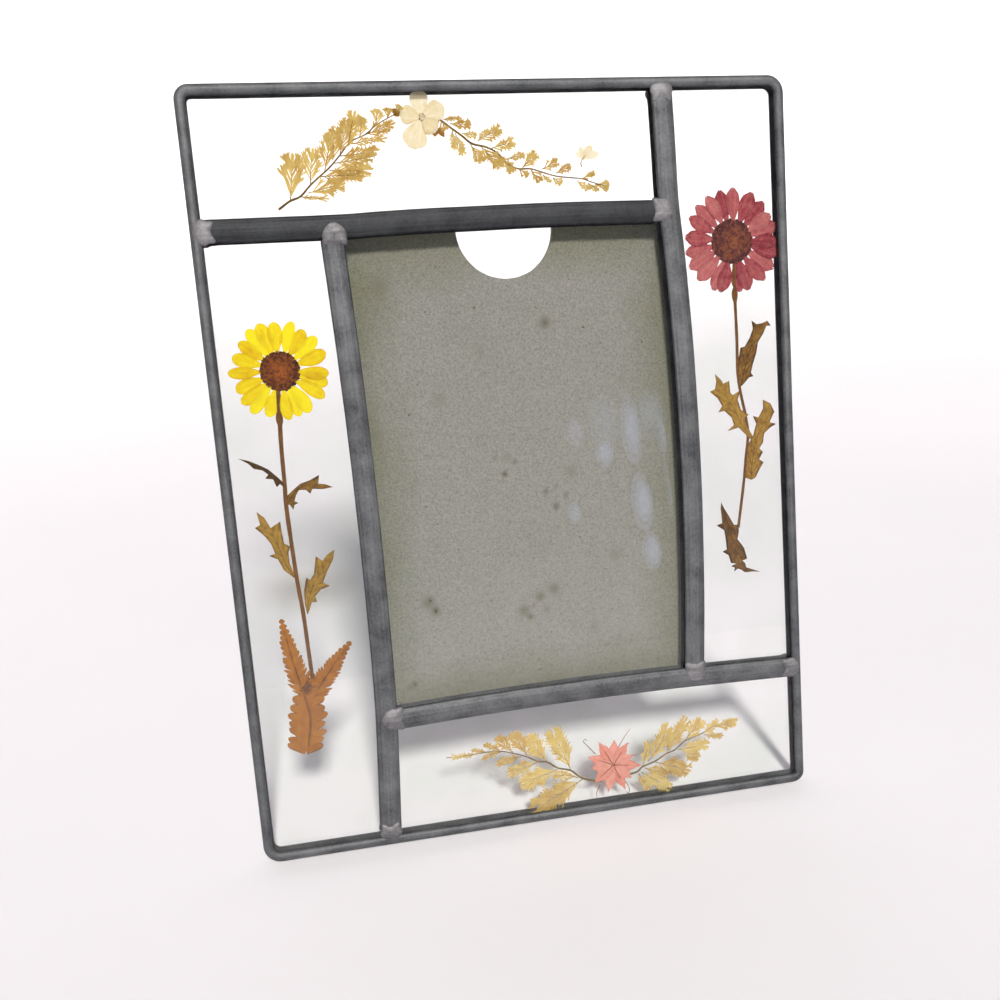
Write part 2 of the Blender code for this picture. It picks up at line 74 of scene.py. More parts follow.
# Strips, tubes and wire at the back, in millimetres.
SHEET, TUBE_WALL = 0.8, 0.5
WIRE_RADIUS, WIRE_STUB, WIRE_BENDS = 1.2, 16.0, (3.5, 8.0, 8.0, 3.5)

# Buds in a flower's eye follow each other at this angle.
GOLDEN_TURN = math.radians(137.508)


# Placing and measuring

def leaned(points):
    """Upright millimetres to metres: turned back by the lean, then moved to the foot's place."""
    x, y, z = np.moveaxis(np.asarray(points, float), -1, 0)
    turned = [x, y * LEAN_COS + z * LEAN_SIN, z * LEAN_COS - y * LEAN_SIN]
    return MM * np.stack(turned, -1) + np.array(FOOT["pos_m"])


def to_upright(points):
    """Metres where the frame stands to upright millimetres: the way back from leaned()."""
    x, y, z = ((points - np.array(FOOT["pos_m"])) / MM).T
    return np.stack([x, y * LEAN_COS - z * LEAN_SIN, z * LEAN_COS + y * LEAN_SIN], -1)


def upright(name):
    """A CAD node's corners in upright millimetres."""
    mesh = frame["nodes"][name].data
    found = np.empty(len(mesh.vertices) * 3, np.float32)
    mesh.vertices.foreach_get("co", found)
    return to_upright(found.reshape(-1, 3))


def span(name):
    """A CAD node's lowest and highest corner in upright millimetres."""
    corners = upright(name)
    return corners.min(0), corners.max(0)


def centre_and_reach(name):
    """The middle of a CAD node across the glass, as (x, z), and half its width."""
    low, high = span(name)
    return ((low + high) / 2)[[0, 2]], (high[0] - low[0]) / 2


def centre_line(name, axis):
    """Middle of each section of a CAD bar, found where its corners leave a gap along it."""
    corners = upright(name)[:, [axis, 2 - axis]]
    corners = corners[np.argsort(corners[:, 0])]
    cuts = np.flatnonzero(np.diff(corners[:, 0]) > 2.0) + 1
    middles = [(part.min(0) + part.max(0)) / 2 for part in np.split(corners, cuts)]
    return np.array(middles)


def smooth_line(points, count):
    """Hermite curve through the points, its slopes the mean of the steps on both sides."""
    points = np.asarray(points, float)
    place = np.linspace(0, len(points) - 1, count)
    low = np.clip(place.astype(int), 0, len(points) - 2)
    t = (place - low)[:, None]
    slope = np.gradient(points, axis=0)
    start, end = points[low], points[low + 1]
    return ((2 * t**3 - 3 * t**2 + 1) * start + (t**3 - 2 * t**2 + t) * slope[low]
            + (3 * t**2 - 2 * t**3) * end + (t**3 - t**2) * slope[low + 1])


def ripple(along, across, seed, waves=7):
    """Hand-made unevenness from -1 to 1: the mean of sine waves at seeded angles and phases."""
    draw = np.random.default_rng(seed)
    steps = draw.normal(size=(waves, 2))
    phase = draw.uniform(0, 2 * math.pi, waves)
    total = along[..., None] * steps[:, 0] + across[..., None] * steps[:, 1] + phase
    return np.sin(total).mean(-1)


# Meshes from grids

def together(*parts):
    """Arrays stretched to one shape and stacked on a last axis, as (x, y, z) are."""
    return np.stack(np.broadcast_arrays(*parts), -1)


def grid_faces(copies, rows, cols, ring, first):
    """Quads over each grid, whose columns close up, and a face over each end unless it is a ring."""
    row = np.arange(rows if ring else rows - 1)[:, None]
    col = np.arange(cols)[None, :]
    after, beside = (row + 1) % rows * cols, (col + 1) % cols
    quads = np.stack([row * cols + col, row * cols + beside, after + beside, after + col], -1)
    shift = first + np.arange(copies)[:, None, None] * rows * cols
    found = (quads.reshape(1, -1, 4) + shift).reshape(-1, 4).tolist()
    if not ring:
        ends = np.stack([np.arange(cols)[::-1], (rows - 1) * cols + np.arange(cols)])
        found += (ends[None] + shift).reshape(-1, cols).tolist()
    return found


def build(name, shapes, material, nodes, body="frame", ring=False, sharp=50.0):
    """One closed mesh from shapes, each (points, grain) of size (copies, rows, columns, 3).

    The attribute "grain" keeps where a point lies in its own piece: its share or its millimetres
    along, its place across, and the shade of its copy.
    """
    points, grain, faces, first = [], [], [], 0
    for place, lay in shapes:
        copies, rows, cols, _ = place.shape
        points.append(place.reshape(-1, 3))
        grain.append(np.broadcast_to(lay, place.shape).reshape(-1, 3))
        faces += grid_faces(copies, rows, cols, ring, first)
        first += copies * rows * cols
    mesh = bpy.data.meshes.new(name)
    mesh.from_pydata(leaned(np.concatenate(points)).tolist(), [], faces)
    held = mesh.attributes.new("grain", "FLOAT_VECTOR", "POINT")
    held.data.foreach_set("vector", np.concatenate(grain).astype(np.float32).ravel())
    shell = bmesh.new()
    shell.from_mesh(mesh)
    bmesh.ops.recalc_face_normals(shell, faces=shell.faces)
    shell.to_mesh(mesh)
    shell.free()
    mesh.shade_smooth()
    mesh.set_sharp_from_angle(angle=math.radians(sharp))
    mesh.materials.append(material)
    piece = bpy.data.objects.new(name, mesh)
    bpy.context.scene.collection.objects.link(piece)
    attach(piece, body)
    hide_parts(*nodes)
    return piece


def carry(path, profile, facing=FACING, closed=False):
    """A profile carried along a path: point = path + a * side + b * facing, where side is square
    to both the path and facing. The profile holds (a, b) pairs, one set or one set a row."""
    if closed:
        run = np.roll(path, -1, 0) - np.roll(path, 1, 0)
    else:
        run = np.gradient(path, axis=0)
    side = np.cross(run, facing)
    side /= np.linalg.norm(side, axis=1, keepdims=True)
    profile = np.broadcast_to(profile, (len(path), *profile.shape[-2:]))
    return (path[:, None] + profile[..., :1] * side[:, None] + profile[..., 1:] * facing)[None]


def round_section(radius, cols, flat=1.0):
    """A circle of each radius, pressed flat across the glass by the given share."""
    turn = 2 * math.pi * np.arange(cols) / cols
    circle = np.stack([np.cos(turn), flat * np.sin(turn)], -1)
    return np.atleast_1d(radius)[:, None, None] * circle


def in_glass(points, depth=0.0):
    """Flat (x, z) points set at a depth between the panes."""
    points = np.asarray(points, float)
    return np.stack([points[:, 0], np.full(len(points), depth), points[:, 1]], -1)


def stalk(points, start, end, depth, shade, count=24, cols=8, flat=0.35):
    """A pressed stalk: a flattened round section that thins from its start to its end radius."""
    path = in_glass(smooth_line(points, count), depth)
    radius = np.linspace(start, end, count)
    radius = radius * (1 + 0.12 * ripple(path[:, 2], path[:, 0], 5))
    shape = carry(path, round_section(radius, cols, flat))
    turn = np.cos(2 * math.pi * np.arange(cols) / cols)
    return shape, together(np.linspace(0, 1, count)[:, None], turn, shade)[None]


def ray_swell(u):
    """Width of a ray petal: narrow where it leaves the disc, fullest past the middle, round tip."""
    rise = 0.22 + 0.78 * np.sin(np.clip(u / 0.62, 0, 1) * math.pi / 2) ** 1.2
    return rise * np.sqrt(np.clip(1 - (np.clip(u - 0.55, 0, 1) / 0.455) ** 2.4, 0.01, 1))


def lobe_swell(u):
    """Width of a leaf lobe: swells soon after its foot and runs out to a point."""
    return np.maximum(np.sin(math.pi * np.clip(u, 0.02, 0.985) ** 0.8) ** 0.8, 0.05)


def tab_swell(u):
    """Width of a rounded tab: full from its foot, then a half-round end."""
    return np.sqrt(np.clip(1 - (np.clip(u - 0.6, 0, 1) / 0.41) ** 2.2, 0.02, 1))


def finger_swell(u):
    """Width of a fern lobe: a slim wedge, widest near its end, then cut short."""
    return (0.25 + 0.75 * u**0.7) * np.sqrt(np.clip(1 - (np.clip(u - 0.72, 0, 1) / 0.29) ** 2.5,
                                                    0.03, 1))


def petal_swell(u):
    """Width of a broad petal: a narrow claw, then a full round blade."""
    return np.maximum(np.sin(math.pi * np.clip(u, 0.03, 0.98) ** 1.7) ** 0.55, 0.12)


def blades(base, heading, length, half, depth, shade, swell, rows=7, cols=6, bend=0.0, notch=0.0,
           thick=0.03):
    """Thin closed blades. Along a blade u runs from 0 to 1; across it a = cos(turn) goes round a
    flattened section. A point lies at base + along * heading + sideways, where along = length *
    (u - notch * u^6 * (1 - cos(3 pi a)) / 2) and sideways = half * swell(u) * a + a bow."""
    base = np.atleast_2d(base)
    columns = [np.broadcast_to(v, len(base)).astype(float)[:, None, None]
               for v in (heading, length, half, depth, shade, bend)]
    heading, length, half, depth, shade, bend = columns
    u = np.linspace(0, 1, rows)[None, :, None]
    turn = 2 * math.pi * np.arange(cols) / cols
    across = np.cos(turn)[None, None, :]
    along = length * (u - notch * u**6 * (1 - np.cos(3 * math.pi * across)) / 2)
    side = half * swell(u) * across + bend * 4 * u * (1 - u)
    x = base[:, 0, None, None] + along * np.cos(heading) - side * np.sin(heading)
    z = base[:, 1, None, None] + along * np.sin(heading) + side * np.cos(heading)
    y = depth + thick * np.sin(turn)[None, None, :] + 0 * u
    return together(x, y, z), together(u + 0 * x, across, shade)


def domes(centres, radius, height, depth, shade, cols=7):
    """Small closed buds: rings that shrink as they rise towards the front, or back if height < 0."""
    rings = np.array([(0.06, 0.0), (1.0, 0.0), (0.82, 0.6), (0.4, 0.95), (0.05, 1.0)])
    turn = 2 * math.pi * np.arange(cols) / cols
    size = np.broadcast_to(radius, len(centres))[:, None, None] * rings[None, :, :1]
    rise = np.broadcast_to(height, len(centres))[:, None, None] * rings[None, :, 1:]
    x = centres[:, 0, None, None] + size * np.cos(turn)
    z = centres[:, 1, None, None] + size * np.sin(turn)
    y = depth - rise + 0 * x
    shade = np.broadcast_to(shade, len(centres))[:, None, None]
    return together(x, y, z), together(rings[None, :, 1:] + 0 * x, 0, shade)


def leaf(outline, midrib, depth, shade, step=0.4, thick=0.05):
    """A flat leaf: rings that run from near its midrib out to its outline and back behind it.
    A point lies at m + v * (edge - m), where m is the midrib's nearest point to the edge."""
    outline = np.asarray(outline, float)
    ahead = np.roll(outline, -1, 0)
    parts = np.maximum(np.ceil(np.linalg.norm(ahead - outline, axis=1) / step).astype(int), 1)
    share = np.concatenate([np.arange(n) / n for n in parts])[:, None]
    edge = np.repeat(outline, parts, 0) * (1 - share) + np.repeat(ahead, parts, 0) * share
    rib = smooth_line(midrib, 80)
    nearest = np.linalg.norm(edge[:, None] - rib[None], axis=2).argmin(1)
    foot = rib[nearest]
    run = np.gradient(rib, axis=0)[nearest]
    side = np.sign(run[:, 0] * (edge - foot)[:, 1] - run[:, 1] * (edge - foot)[:, 0])
    reach = np.array([0.06, 0.3, 0.6, 0.9, 1.0, 0.9, 0.6, 0.3, 0.06])[:, None]
    face = np.array([1, 1, 1, 1, 0, -1, -1, -1, -1])[:, None]
    flat = foot[None] + reach[..., None] * (edge - foot)[None]
    y = depth + thick * face * (1.3 - 0.6 * reach) + 0 * flat[..., 0]
    lay = together(nearest[None] / (len(rib) - 1), reach * side[None], shade)
    return together(flat[..., 0], y, flat[..., 1])[None], lay[None]


# Materials. A noise's scale is given as lumps for a millimetre, over MM.

def linear(code):
    """An sRGB hex colour as linear red, green, blue and alpha."""
    parts = [int(code[i:i + 2], 16) / 255 for i in (1, 3, 5)]
    return (*[c / 12.92 if c <= 0.04045 else ((c + 0.055) / 1.055) ** 2.4 for c in parts], 1.0)


def fill(tree, node, inputs):
    """Give a node's sockets, by name or number, their links or values."""
    for key, value in inputs.items():
        if isinstance(value, bpy.types.NodeSocket):
            tree.links.new(value, node.inputs[key])
        else:
            node.inputs[key].default_value = value


def add(tree, kind, inputs=None, stops=None, **settings):
    """Add a node with its settings, its sockets' links or values and a ramp's stops."""
    made = tree.nodes.new("ShaderNode" + kind)
    for key, value in settings.items():
        setattr(made, key, value)
    fill(tree, made, inputs or {})
    if stops:
        ramp = made.color_ramp
        while len(ramp.elements) < len(stops):
            ramp.elements.new(0.5)
        for element, (place, colour) in zip(ramp.elements, stops):
            element.position, element.color = place, colour
    return made


def new_material(name):
    """A material with its node tree and its shader."""
    material = bpy.data.materials.new(name)
    material.use_nodes = True
    tree = material.node_tree
    return material, tree, tree.nodes["Principled BSDF"]


def cast_lead(name, dark, light, metal=0.7, lumps=0.0):
    """Drawn and tarnished lead: soft grey metal with fine lines along it where it came through
    the mill, darker smears in its hollows and small bright rubs. It gives a dull satin gleam.
    Lines lie 0.4 mm apart and run for 16 mm, smears are 6 mm wide and rubs 0.7 mm."""
    material, tree, shader = new_material(name)
    grain = add(tree, "Attribute", attribute_name="grain").outputs["Vector"]
    place = add(tree, "TexCoord").outputs["Object"]
    lines = add(tree, "Mapping", {"Vector": grain, "Scale": (0.06, 2.6, 1.0)}).outputs[0]
    drawn = add(tree, "TexNoise", {"Vector": lines, "Scale": 1.0, "Detail": 5.0}).outputs[0]
    cloud = add(tree, "TexNoise", {"Vector": place, "Scale": 0.16 / MM, "Detail": 6.0}).outputs[0]
    specks = add(tree, "TexNoise", {"Vector": place, "Scale": 1.5 / MM, "Detail": 3.0}).outputs[0]
    both = add(tree, "Math", {0: drawn, 1: 0.5, 2: cloud}, operation="MULTIPLY_ADD").outputs[0]
    mixed = add(tree, "Math", {0: specks, 1: 0.45, 2: both}, operation="MULTIPLY_ADD").outputs[0]
    tone = add(tree, "MapRange", {"Value": mixed, "From Min": 0.62, "From Max": 1.4}).outputs[0]
    stops = [(0.0, dark), (0.55, light), (1.0, tuple(min(1.0, 1.5 * c) for c in light[:3]) + (1.0,))]
    colour = add(tree, "ValToRGB", {0: tone}, stops=stops).outputs[0]
    rough = add(tree, "MapRange", {"Value": cloud, "To Min": 0.52, "To Max": 0.72}).outputs[0]
    height = add(tree, "Math", {0: cloud, 1: lumps, 2: drawn}, operation="MULTIPLY_ADD").outputs[0]
    bump = add(tree, "Bump", {"Height": height, "Strength": 0.35, "Distance": 0.2 * MM}).outputs[0]
    fill(tree, shader, {"Base Color": colour, "Roughness": rough, "Normal": bump,
                        "Metallic": metal})
    return material


# The share of red, green and blue light that a pane lets by.
LET_BY = (0.98, 0.985, 0.98, 1.0)


def float_glass(name, tint, smudge):
    """Thin float glass: clear, with a breath of green, faint smudges in its polish, 20 mm wide,
    and a few specks of dust, 0.4 mm wide so that they show, though real dust is finer. Lamps
    shine through it on what it covers: light that has been scattered, and shadows, pass it by."""
    material, tree, shader = new_material(name)
    place = add(tree, "TexCoord").outputs["Object"]
    cloud = add(tree, "TexNoise", {"Vector": place, "Scale": 0.045 / MM, "Detail": 4.0}).outputs[0]
    dust = add(tree, "TexNoise", {"Vector": place, "Scale": 2.6 / MM, "Detail": 1.0}).outputs[0]
    clear = linear("#ffffff")
    speck = add(tree, "ValToRGB", {0: dust}, stops=[(0.80, clear), (0.86, tint)]).outputs[0]
    wave = add(tree, "ValToRGB", {0: cloud}, stops=[(0.35, clear), (0.75, tint)]).outputs[0]
    colour = add(tree, "Mix", {0: 1.0, 6: wave, 7: speck}, data_type="RGBA",
                 blend_type="MULTIPLY").outputs[2]
    rough = add(tree, "MapRange", {"Value": cloud, "From Min": 0.45, "From Max": 0.8,
                                   "To Min": 0.0, "To Max": smudge}).outputs[0]
    fill(tree, shader, {"Base Color": colour, "Roughness": rough, "IOR": 1.5,
                        "Transmission Weight": 1.0})
    both, path = shader.outputs[0], add(tree, "LightPath")
    passing = add(tree, "BsdfTransparent", {"Color": LET_BY}).outputs[0]
    for ray in ("Is Diffuse Ray", "Is Shadow Ray"):
        both = add(tree, "MixShader", {0: path.outputs[ray], 1: both, 2: passing}).outputs[0]
    fill(tree, tree.nodes["Material Output"], {"Surface": both})
    return material


def pressed_plant(name, pale, deep, stalk_tone, veins=(0.0, 3.0), through=0.35, rim=0.3):
    """Dried, pressed plant: papery, matt and thin enough to see light through, so that layers
    deepen each other. Fine veins follow each petal or leaf and its edges dry darker. Blotches
    are 2.4 mm wide. Cells are drawn 0.7 mm wide so that they show: real ones are 0.05 mm."""
    material, tree, shader = new_material(name)
    grain = add(tree, "Attribute", attribute_name="grain").outputs["Vector"]
    split = add(tree, "SeparateXYZ", {0: grain})
    along, across, shade = split.outputs
    side = add(tree, "Math", {0: across}, operation="ABSOLUTE").outputs[0]
    place = add(tree, "TexCoord").outputs["Object"]
    cells = add(tree, "TexNoise", {"Vector": place, "Scale": 1.4 / MM, "Detail": 5.0}).outputs[0]
    cloud = add(tree, "TexNoise", {"Vector": place, "Scale": 0.42 / MM, "Detail": 3.0}).outputs[0]
    turn = add(tree, "Math", {0: along, 1: veins[0] * 2 * math.pi},
               operation="MULTIPLY").outputs[0]
    turn = add(tree, "Math", {0: side, 1: veins[1] * 2 * math.pi, 2: turn},
               operation="MULTIPLY_ADD").outputs[0]
    wave = add(tree, "Math", {0: turn}, operation="SINE").outputs[0]
    vein = add(tree, "MapRange", {"Value": wave, "From Min": 0.2, "From Max": 1.0,
                                  "To Min": 0.0, "To Max": 0.16}).outputs[0]
    tone = add(tree, "MapRange", {"Value": cells, "From Min": 0.3, "From Max": 0.75,
                                  "To Min": -0.12, "To Max": 0.16}).outputs[0]
    edge = add(tree, "MapRange", {"Value": side, "From Min": 0.7, "From Max": 1.0,
                                  "To Min": 0.0, "To Max": rim}).outputs[0]
    patch = add(tree, "MapRange", {"Value": cloud, "From Min": 0.3, "From Max": 0.7,
                                   "To Min": -0.02, "To Max": 0.26}).outputs[0]
    for part in (vein, edge, shade, patch):
        tone = add(tree, "Math", {0: tone, 1: part}, operation="ADD").outputs[0]
    stops = [(0.1, pale), (0.68, deep), (1.0, stalk_tone)]
    colour = add(tree, "ValToRGB", {0: tone}, stops=stops).outputs[0]
    bump = add(tree, "Bump", {"Height": cells, "Strength": 0.5, "Distance": 0.08 * MM}).outputs[0]
    fill(tree, shader, {"Base Color": colour, "Normal": bump, "Roughness": 0.8,
                        "Specular IOR Level": 0.2})
    stained = add(tree, "BsdfTransparent", {"Color": colour}).outputs[0]
    both = add(tree, "MixShader", {0: through, 1: shader.outputs[0], 2: stained}).outputs[0]
    fill(tree, tree.nodes["Material Output"], {"Surface": both})
    return material


def fibre_board(name, plain, olive, stain):
    """Pressed fibre board: dull grey-buff with a fine fleck of fibres, turning olive towards its
    edges, with rust specks, a few stains and painted shade on the lower side of its dents. It
    gives no gloss at all. Tufts of fibre are 0.5 mm wide, rust specks 1.6 mm, and the olive edge
    wanders over 18 mm."""
    material, tree, shader = new_material(name)
    grain = add(tree, "Attribute", attribute_name="grain").outputs["Vector"]
    stains_and_dent_shade, _, inset = add(tree, "SeparateXYZ", {0: grain}).outputs
    place = add(tree, "TexCoord").outputs["Object"]
    fleck = add(tree, "TexNoise", {"Vector": place, "Scale": 1.9 / MM, "Detail": 4.0}).outputs[0]
    cloud = add(tree, "TexNoise", {"Vector": place, "Scale": 0.055 / MM, "Detail": 5.0}).outputs[0]
    rust = add(tree, "TexNoise", {"Vector": place, "Scale": 0.62 / MM, "Detail": 2.0}).outputs[0]
    wander = add(tree, "MapRange", {"Value": cloud, "To Min": -9.0, "To Max": 9.0}).outputs[0]
    inset = add(tree, "Math", {0: inset, 1: wander}, operation="ADD").outputs[0]
    # Darker olive towards the board's edges.
    olive_share = add(tree, "MapRange", {"Value": inset, "From Min": -2.0, "From Max": 15.0,
                                  "To Min": 0.9, "To Max": 0.06}).outputs[0]
    base = add(tree, "Mix", {0: olive_share, 6: plain, 7: olive}, data_type="RGBA").outputs[2]
    stops = [(at, (share, share, share, 1)) for at, share in ((0.3, 0.68), (0.5, 1), (0.7, 1.26))]
    speck = add(tree, "ValToRGB", {0: fleck}, stops=stops).outputs[0]
    base = add(tree, "Mix", {0: 0.8, 6: base, 7: speck}, data_type="RGBA",
               blend_type="MULTIPLY").outputs[2]
    spot = add(tree, "ValToRGB", {0: rust}, stops=[(0.72, (0, 0, 0, 1)), (0.80, (1, 1, 1, 1))])
    base = add(tree, "Mix", {0: spot.outputs[0], 6: base, 7: stain}, data_type="RGBA").outputs[2]
    broken = add(tree, "MapRange", {"Value": fleck, "From Min": 0.35, "From Max": 0.6,
                                    "To Min": 0.3, "To Max": 1.25}).outputs[0]
    # Stains and the painted shade in the dents both take the stain colour here.
    near = add(tree, "Math", {0: broken, 1: stains_and_dent_shade}, operation="MULTIPLY", use_clamp=True).outputs[0]
    base = add(tree, "Mix", {0: near, 6: base, 7: stain}, data_type="RGBA").outputs[2]
    bump = add(tree, "Bump", {"Height": fleck, "Strength": 0.4, "Distance": 0.12 * MM}).outputs[0]
    fill(tree, shader, {"Base Color": base, "Normal": bump, "Roughness": 0.92})
    return material


def tinned_steel(name, bright, dull):
    """Tinned steel strip and wire: a cool bright metal, lightly brushed, gone dull in patches
    7 mm wide. The brushing is drawn 0.45 mm wide so that it shows: real lines are 0.05 mm."""
    material, tree, shader = new_material(name)
    place = add(tree, "TexCoord").outputs["Object"]
    cloud = add(tree, "TexNoise", {"Vector": place, "Scale": 0.14 / MM, "Detail": 6.0}).outputs[0]
    fine = add(tree, "TexNoise", {"Vector": place, "Scale": 2.2 / MM, "Detail": 2.0}).outputs[0]
    colour = add(tree, "ValToRGB", {0: cloud}, stops=[(0.35, dull), (0.62, bright)]).outputs[0]
    rough = add(tree, "MapRange", {"Value": cloud, "To Min": 0.45, "To Max": 0.22}).outputs[0]
    bump = add(tree, "Bump", {"Height": fine, "Strength": 0.2, "Distance": 0.1 * MM}).outputs[0]
    fill(tree, shader, {"Base Color": colour, "Roughness": rough, "Normal": bump, "Metallic": 1.0})
    return material


# Lead came and solder

BARS = {"top_bar": 0, "right_bar": 2, "bottom_bar": 0, "left_bar": 2}

# Solder joints: place, half sizes, and the diagonals where it fills a corner, in degrees.
SOLDER = {
    "left_edge": (-74.0, 162.0, 2.8, 3.6, (40, -40)),
    "top_edge": (43.3, 192.7, 3.6, 2.4, (-50, -130)),
    "right_edge": (74.1, 34.9, 2.8, 3.4, (140, 220)),
    "bottom_edge": (-43.4, 3.5, 3.6, 2.4, (50, 130)),
    "top_left": (-42.9, 160.6, 3.6, 3.3, (-45, -135)),
    "top_right": (42.3, 163.0, 3.3, 3.6, (135, 225)),
    "bottom_right": (45.2, 37.2, 3.6, 3.3, (45, 135)),
    "bottom_left": (-40.2, 35.0, 3.4, 3.6, (45, -45)),
}


def crowned_face(half, middle, count=22):
    """One face of a came: a = middle + half * cos t, b = lip + rise * sin(t)^0.8, with a shallow
    line pressed in near each edge."""
    turn = np.linspace(0, math.pi, count)
    a = np.cos(turn)
    line = np.exp(-((np.abs(a) - 0.72) / 0.08) ** 2) * (0.10 if half > 2 else 0.0)
    return middle + half * a, LIP + (CROWN - LIP) * np.sin(turn) ** 0.8 - line


def came_profile(half, middle, heart_low, heart_high):
    """A came's section as a ring of (a, b): front face, heart, back face and heart again."""
    a, b = crowned_face(half, middle)
    ring = [np.stack([a, -b], -1)]
    if heart_low is not None:
        ring.append(np.array([(heart_low, -LIP), (heart_low, LIP)]))
    ring.append(np.stack([a[::-1], b], -1))
    ring.append(np.array([(heart_high, LIP), (heart_high, -LIP)]))
    return np.concatenate(ring)


def came(path, profile, seed, closed=False):
    """A came along a path, its faces and edges uneven by a tenth of a millimetre."""
    step = np.linalg.norm(np.diff(path, axis=0), axis=1)
    along = np.concatenate([[0], np.cumsum(step)])[:, None]
    across = profile[None, :, 0] + 0 * along
    fade = np.clip(np.minimum(along, along[-1] - along) / 8.0, 0, 1) if closed else 1.0
    on_face = np.abs(profile[None, :, 1]) > LIP + 0.05
    sag = 0.07 * ripple(along * 0.22, across * 0.5, seed) + 0.05 * ripple(along, across, seed + 1)
    rows = profile[None] + 0 * along[..., None]
    rows[..., 1] += np.sign(rows[..., 1]) * on_face * (sag - 0.05) * fade
    rows[..., 0] += 0.06 * ripple(along * 0.15, 0 * across, seed + 2) * fade * (not closed)
    facing = np.sign(profile[None, :, 1]) * 40.0
    return carry(path, rows, closed=closed), together(along, across + facing, 0.5)[None]


def bar_path(name):
    """A bar's middle line as the CAD has it, smoothed and cut into steps of about 0.7 mm."""
    line = centre_line(name, BARS[name])
    count = int(abs(line[-1, 0] - line[0, 0]) / 0.7)
    run = smooth_line(line, count)
    flat = run if BARS[name] == 0 else run[:, ::-1]
    return in_glass(flat)


def border_path():
    """The border's outer edge: straight sides and quarter-circle corners, from its CAD box."""
    low, high = span("edge_came")
    points = []
    ends = [(high[0], low[2], -90), (high[0], high[2], 0), (low[0], high[2], 90),
            (low[0], low[2], 180)]
    for (x, z, start), radius in zip(ends, CORNER_RADII):
        turn = np.radians(np.linspace(start, start + 90, 12))
        x -= math.copysign(radius, x)
        z += radius if z < 50 else -radius
        points.append(np.stack([x + radius * np.cos(turn), z + radius * np.sin(turn)], -1))
    path = []
    for arc, after in zip(points, points[1:] + points[:1]):
        count = int(np.linalg.norm(after[0] - arc[-1]) / 1.0)
        share = np.linspace(0, 1, count)[1:-1, None]
        path += [arc, arc[-1] + share * (after[0] - arc[-1])]
    return in_glass(np.concatenate(path))


def solder_blob(x, z, half_x, half_z, corners, facing, seed):
    """A flowed blob: rings whose reach is an oval, drawn out into the corners and uneven, and
    whose height is (1 - r^2)^0.6 with small waves."""
    turn = 2 * math.pi * np.arange(48) / 48
    oval = 0.86 / np.sqrt((np.cos(turn) / half_x) ** 2 + (np.sin(turn) / half_z) ** 2)
    for corner in corners:
        apart = np.angle(np.exp(1j * (turn - math.radians(corner))))
        oval = oval + 1.15 * np.exp(-(apart / 0.28) ** 2)
    reach = np.array([0.05, 0.25, 0.45, 0.62, 0.77, 0.88, 0.96, 1.0, 0.9, 0.05])[:, None]
    rise = np.array([1, 1, 1, 1, 1, 1, 1, 1, 0, 0])[:, None] * np.clip(1 - reach**2, 0, 1) ** 0.55
    wavy = oval * (1 + 0.05 * ripple(np.cos(turn) * 3, np.sin(turn) * 3, seed))
    px, pz = x + reach * wavy * np.cos(turn), z + reach * wavy * np.sin(turn)
    lump = 0.10 * ripple(px * 1.6, pz * 1.6, seed + 1) * rise
    y = facing * (SOLDER_FOOT + SOLDER_RISE * rise + lump)
    y[-2:] = facing * SOLDER_ROOT
    return together(px, y, pz)[None], together(px, pz, 0.8)[None]


def make_cames(settings):
    """The border and the four bars. The bar along the top is given darker lead: a painted dark reflection on its
    face.
    """
    lead = cast_lead("tarnished_lead_came", tuple(settings.dark), tuple(settings.light))
    painted_dark_top = cast_lead("lead_came_painted_dark_reflection", tuple(settings.painted_dark_top), tuple(settings.dark))
    profile = came_profile(EDGE_HALF, EDGE_HALF, None, EDGE_HEART)
    build("border_came", [came(border_path(), profile, 11, True)], lead, ["edge_came"],
          ring=True)
    profile = came_profile(BAR_HALF, 0.0, -BAR_HEART, BAR_HEART)
    for seed, name in enumerate(BARS):
        # The top bar's darker lead is a painted dark reflection, not tarnish.
        metal = painted_dark_top if name == "top_bar" else lead
        build(f"{name}_came", [came(bar_path(name), profile, 20 + 5 * seed)], metal, [name])


def make_solder(settings):
    """A blob on each joint, front and back."""
    dull = cast_lead("flowed_solder", tuple(settings.solder_dark), tuple(settings.solder_light),
                     lumps=1.5)
    for seed, (label, (x, z, half_x, half_z, corners)) in enumerate(SOLDER.items()):
        for where, facing in (("front", -1), ("back", 1)):
            blob = solder_blob(x, z, half_x, half_z, corners, facing, 60 + 4 * seed + facing)
            node = f"solder_{label}_{where}"
            build(f"{node}_joint", [blob], dull, [node])


# Backing board

# Small dents in the board's face: x, z, radius and depth.
BOARD_DENTS = [(-3.9, 97.2, 1.0, 0.7), (-6.3, 101.7, 0.8, 0.35), (-1.0, 100.2, 0.8, 0.5),
               (-3.0, 102.0, 1.6, 0.2), (9.6, 87.1, 1.0, 0.7), (7.1, 91.4, 0.9, 0.5),
               (12.6, 89.9, 0.8, 0.4), (10.0, 92.5, 0.7, 0.3), (-3.4, 84.0, 0.7, 0.3),
               (-25.5, 62.0, 0.8, 0.4), (-26.8, 65.0, 0.6, 0.4), (1.5, 60.4, 0.7, 0.4)]

# Stains on it: x, z, radius and strength.
BOARD_STAINS = [(9.9, 136.2, 1.3, 0.9), (-32.6, 147.9, 2.6, 0.3), (-27.4, 64.2, 1.7, 0.6),
                (-25.6, 61.5, 1.3, 0.6), (-1.4, 59.0, 1.5, 0.7), (7.4, 64.2, 1.5, 0.6),
                (3.4, 62.4, 1.3, 0.7), (0.2, 57.0, 0.9, 0.7), (5.0, 58.6, 1.0, 0.4),
                (14.5, 96.0, 1.6, 0.3), (-33.1, 42.1, 0.8, 0.8), (-34.6, 41.4, 0.6, 0.6),
                (25.5, 72.0, 1.8, 0.25), (-20.0, 118.0, 2.0, 0.2), (18.0, 52.0, 1.4, 0.25),
                (-8.0, 130.0, 1.2, 0.2), (-37.0, 110.0, 1.8, 0.25), (30.0, 120.0, 1.2, 0.2)]


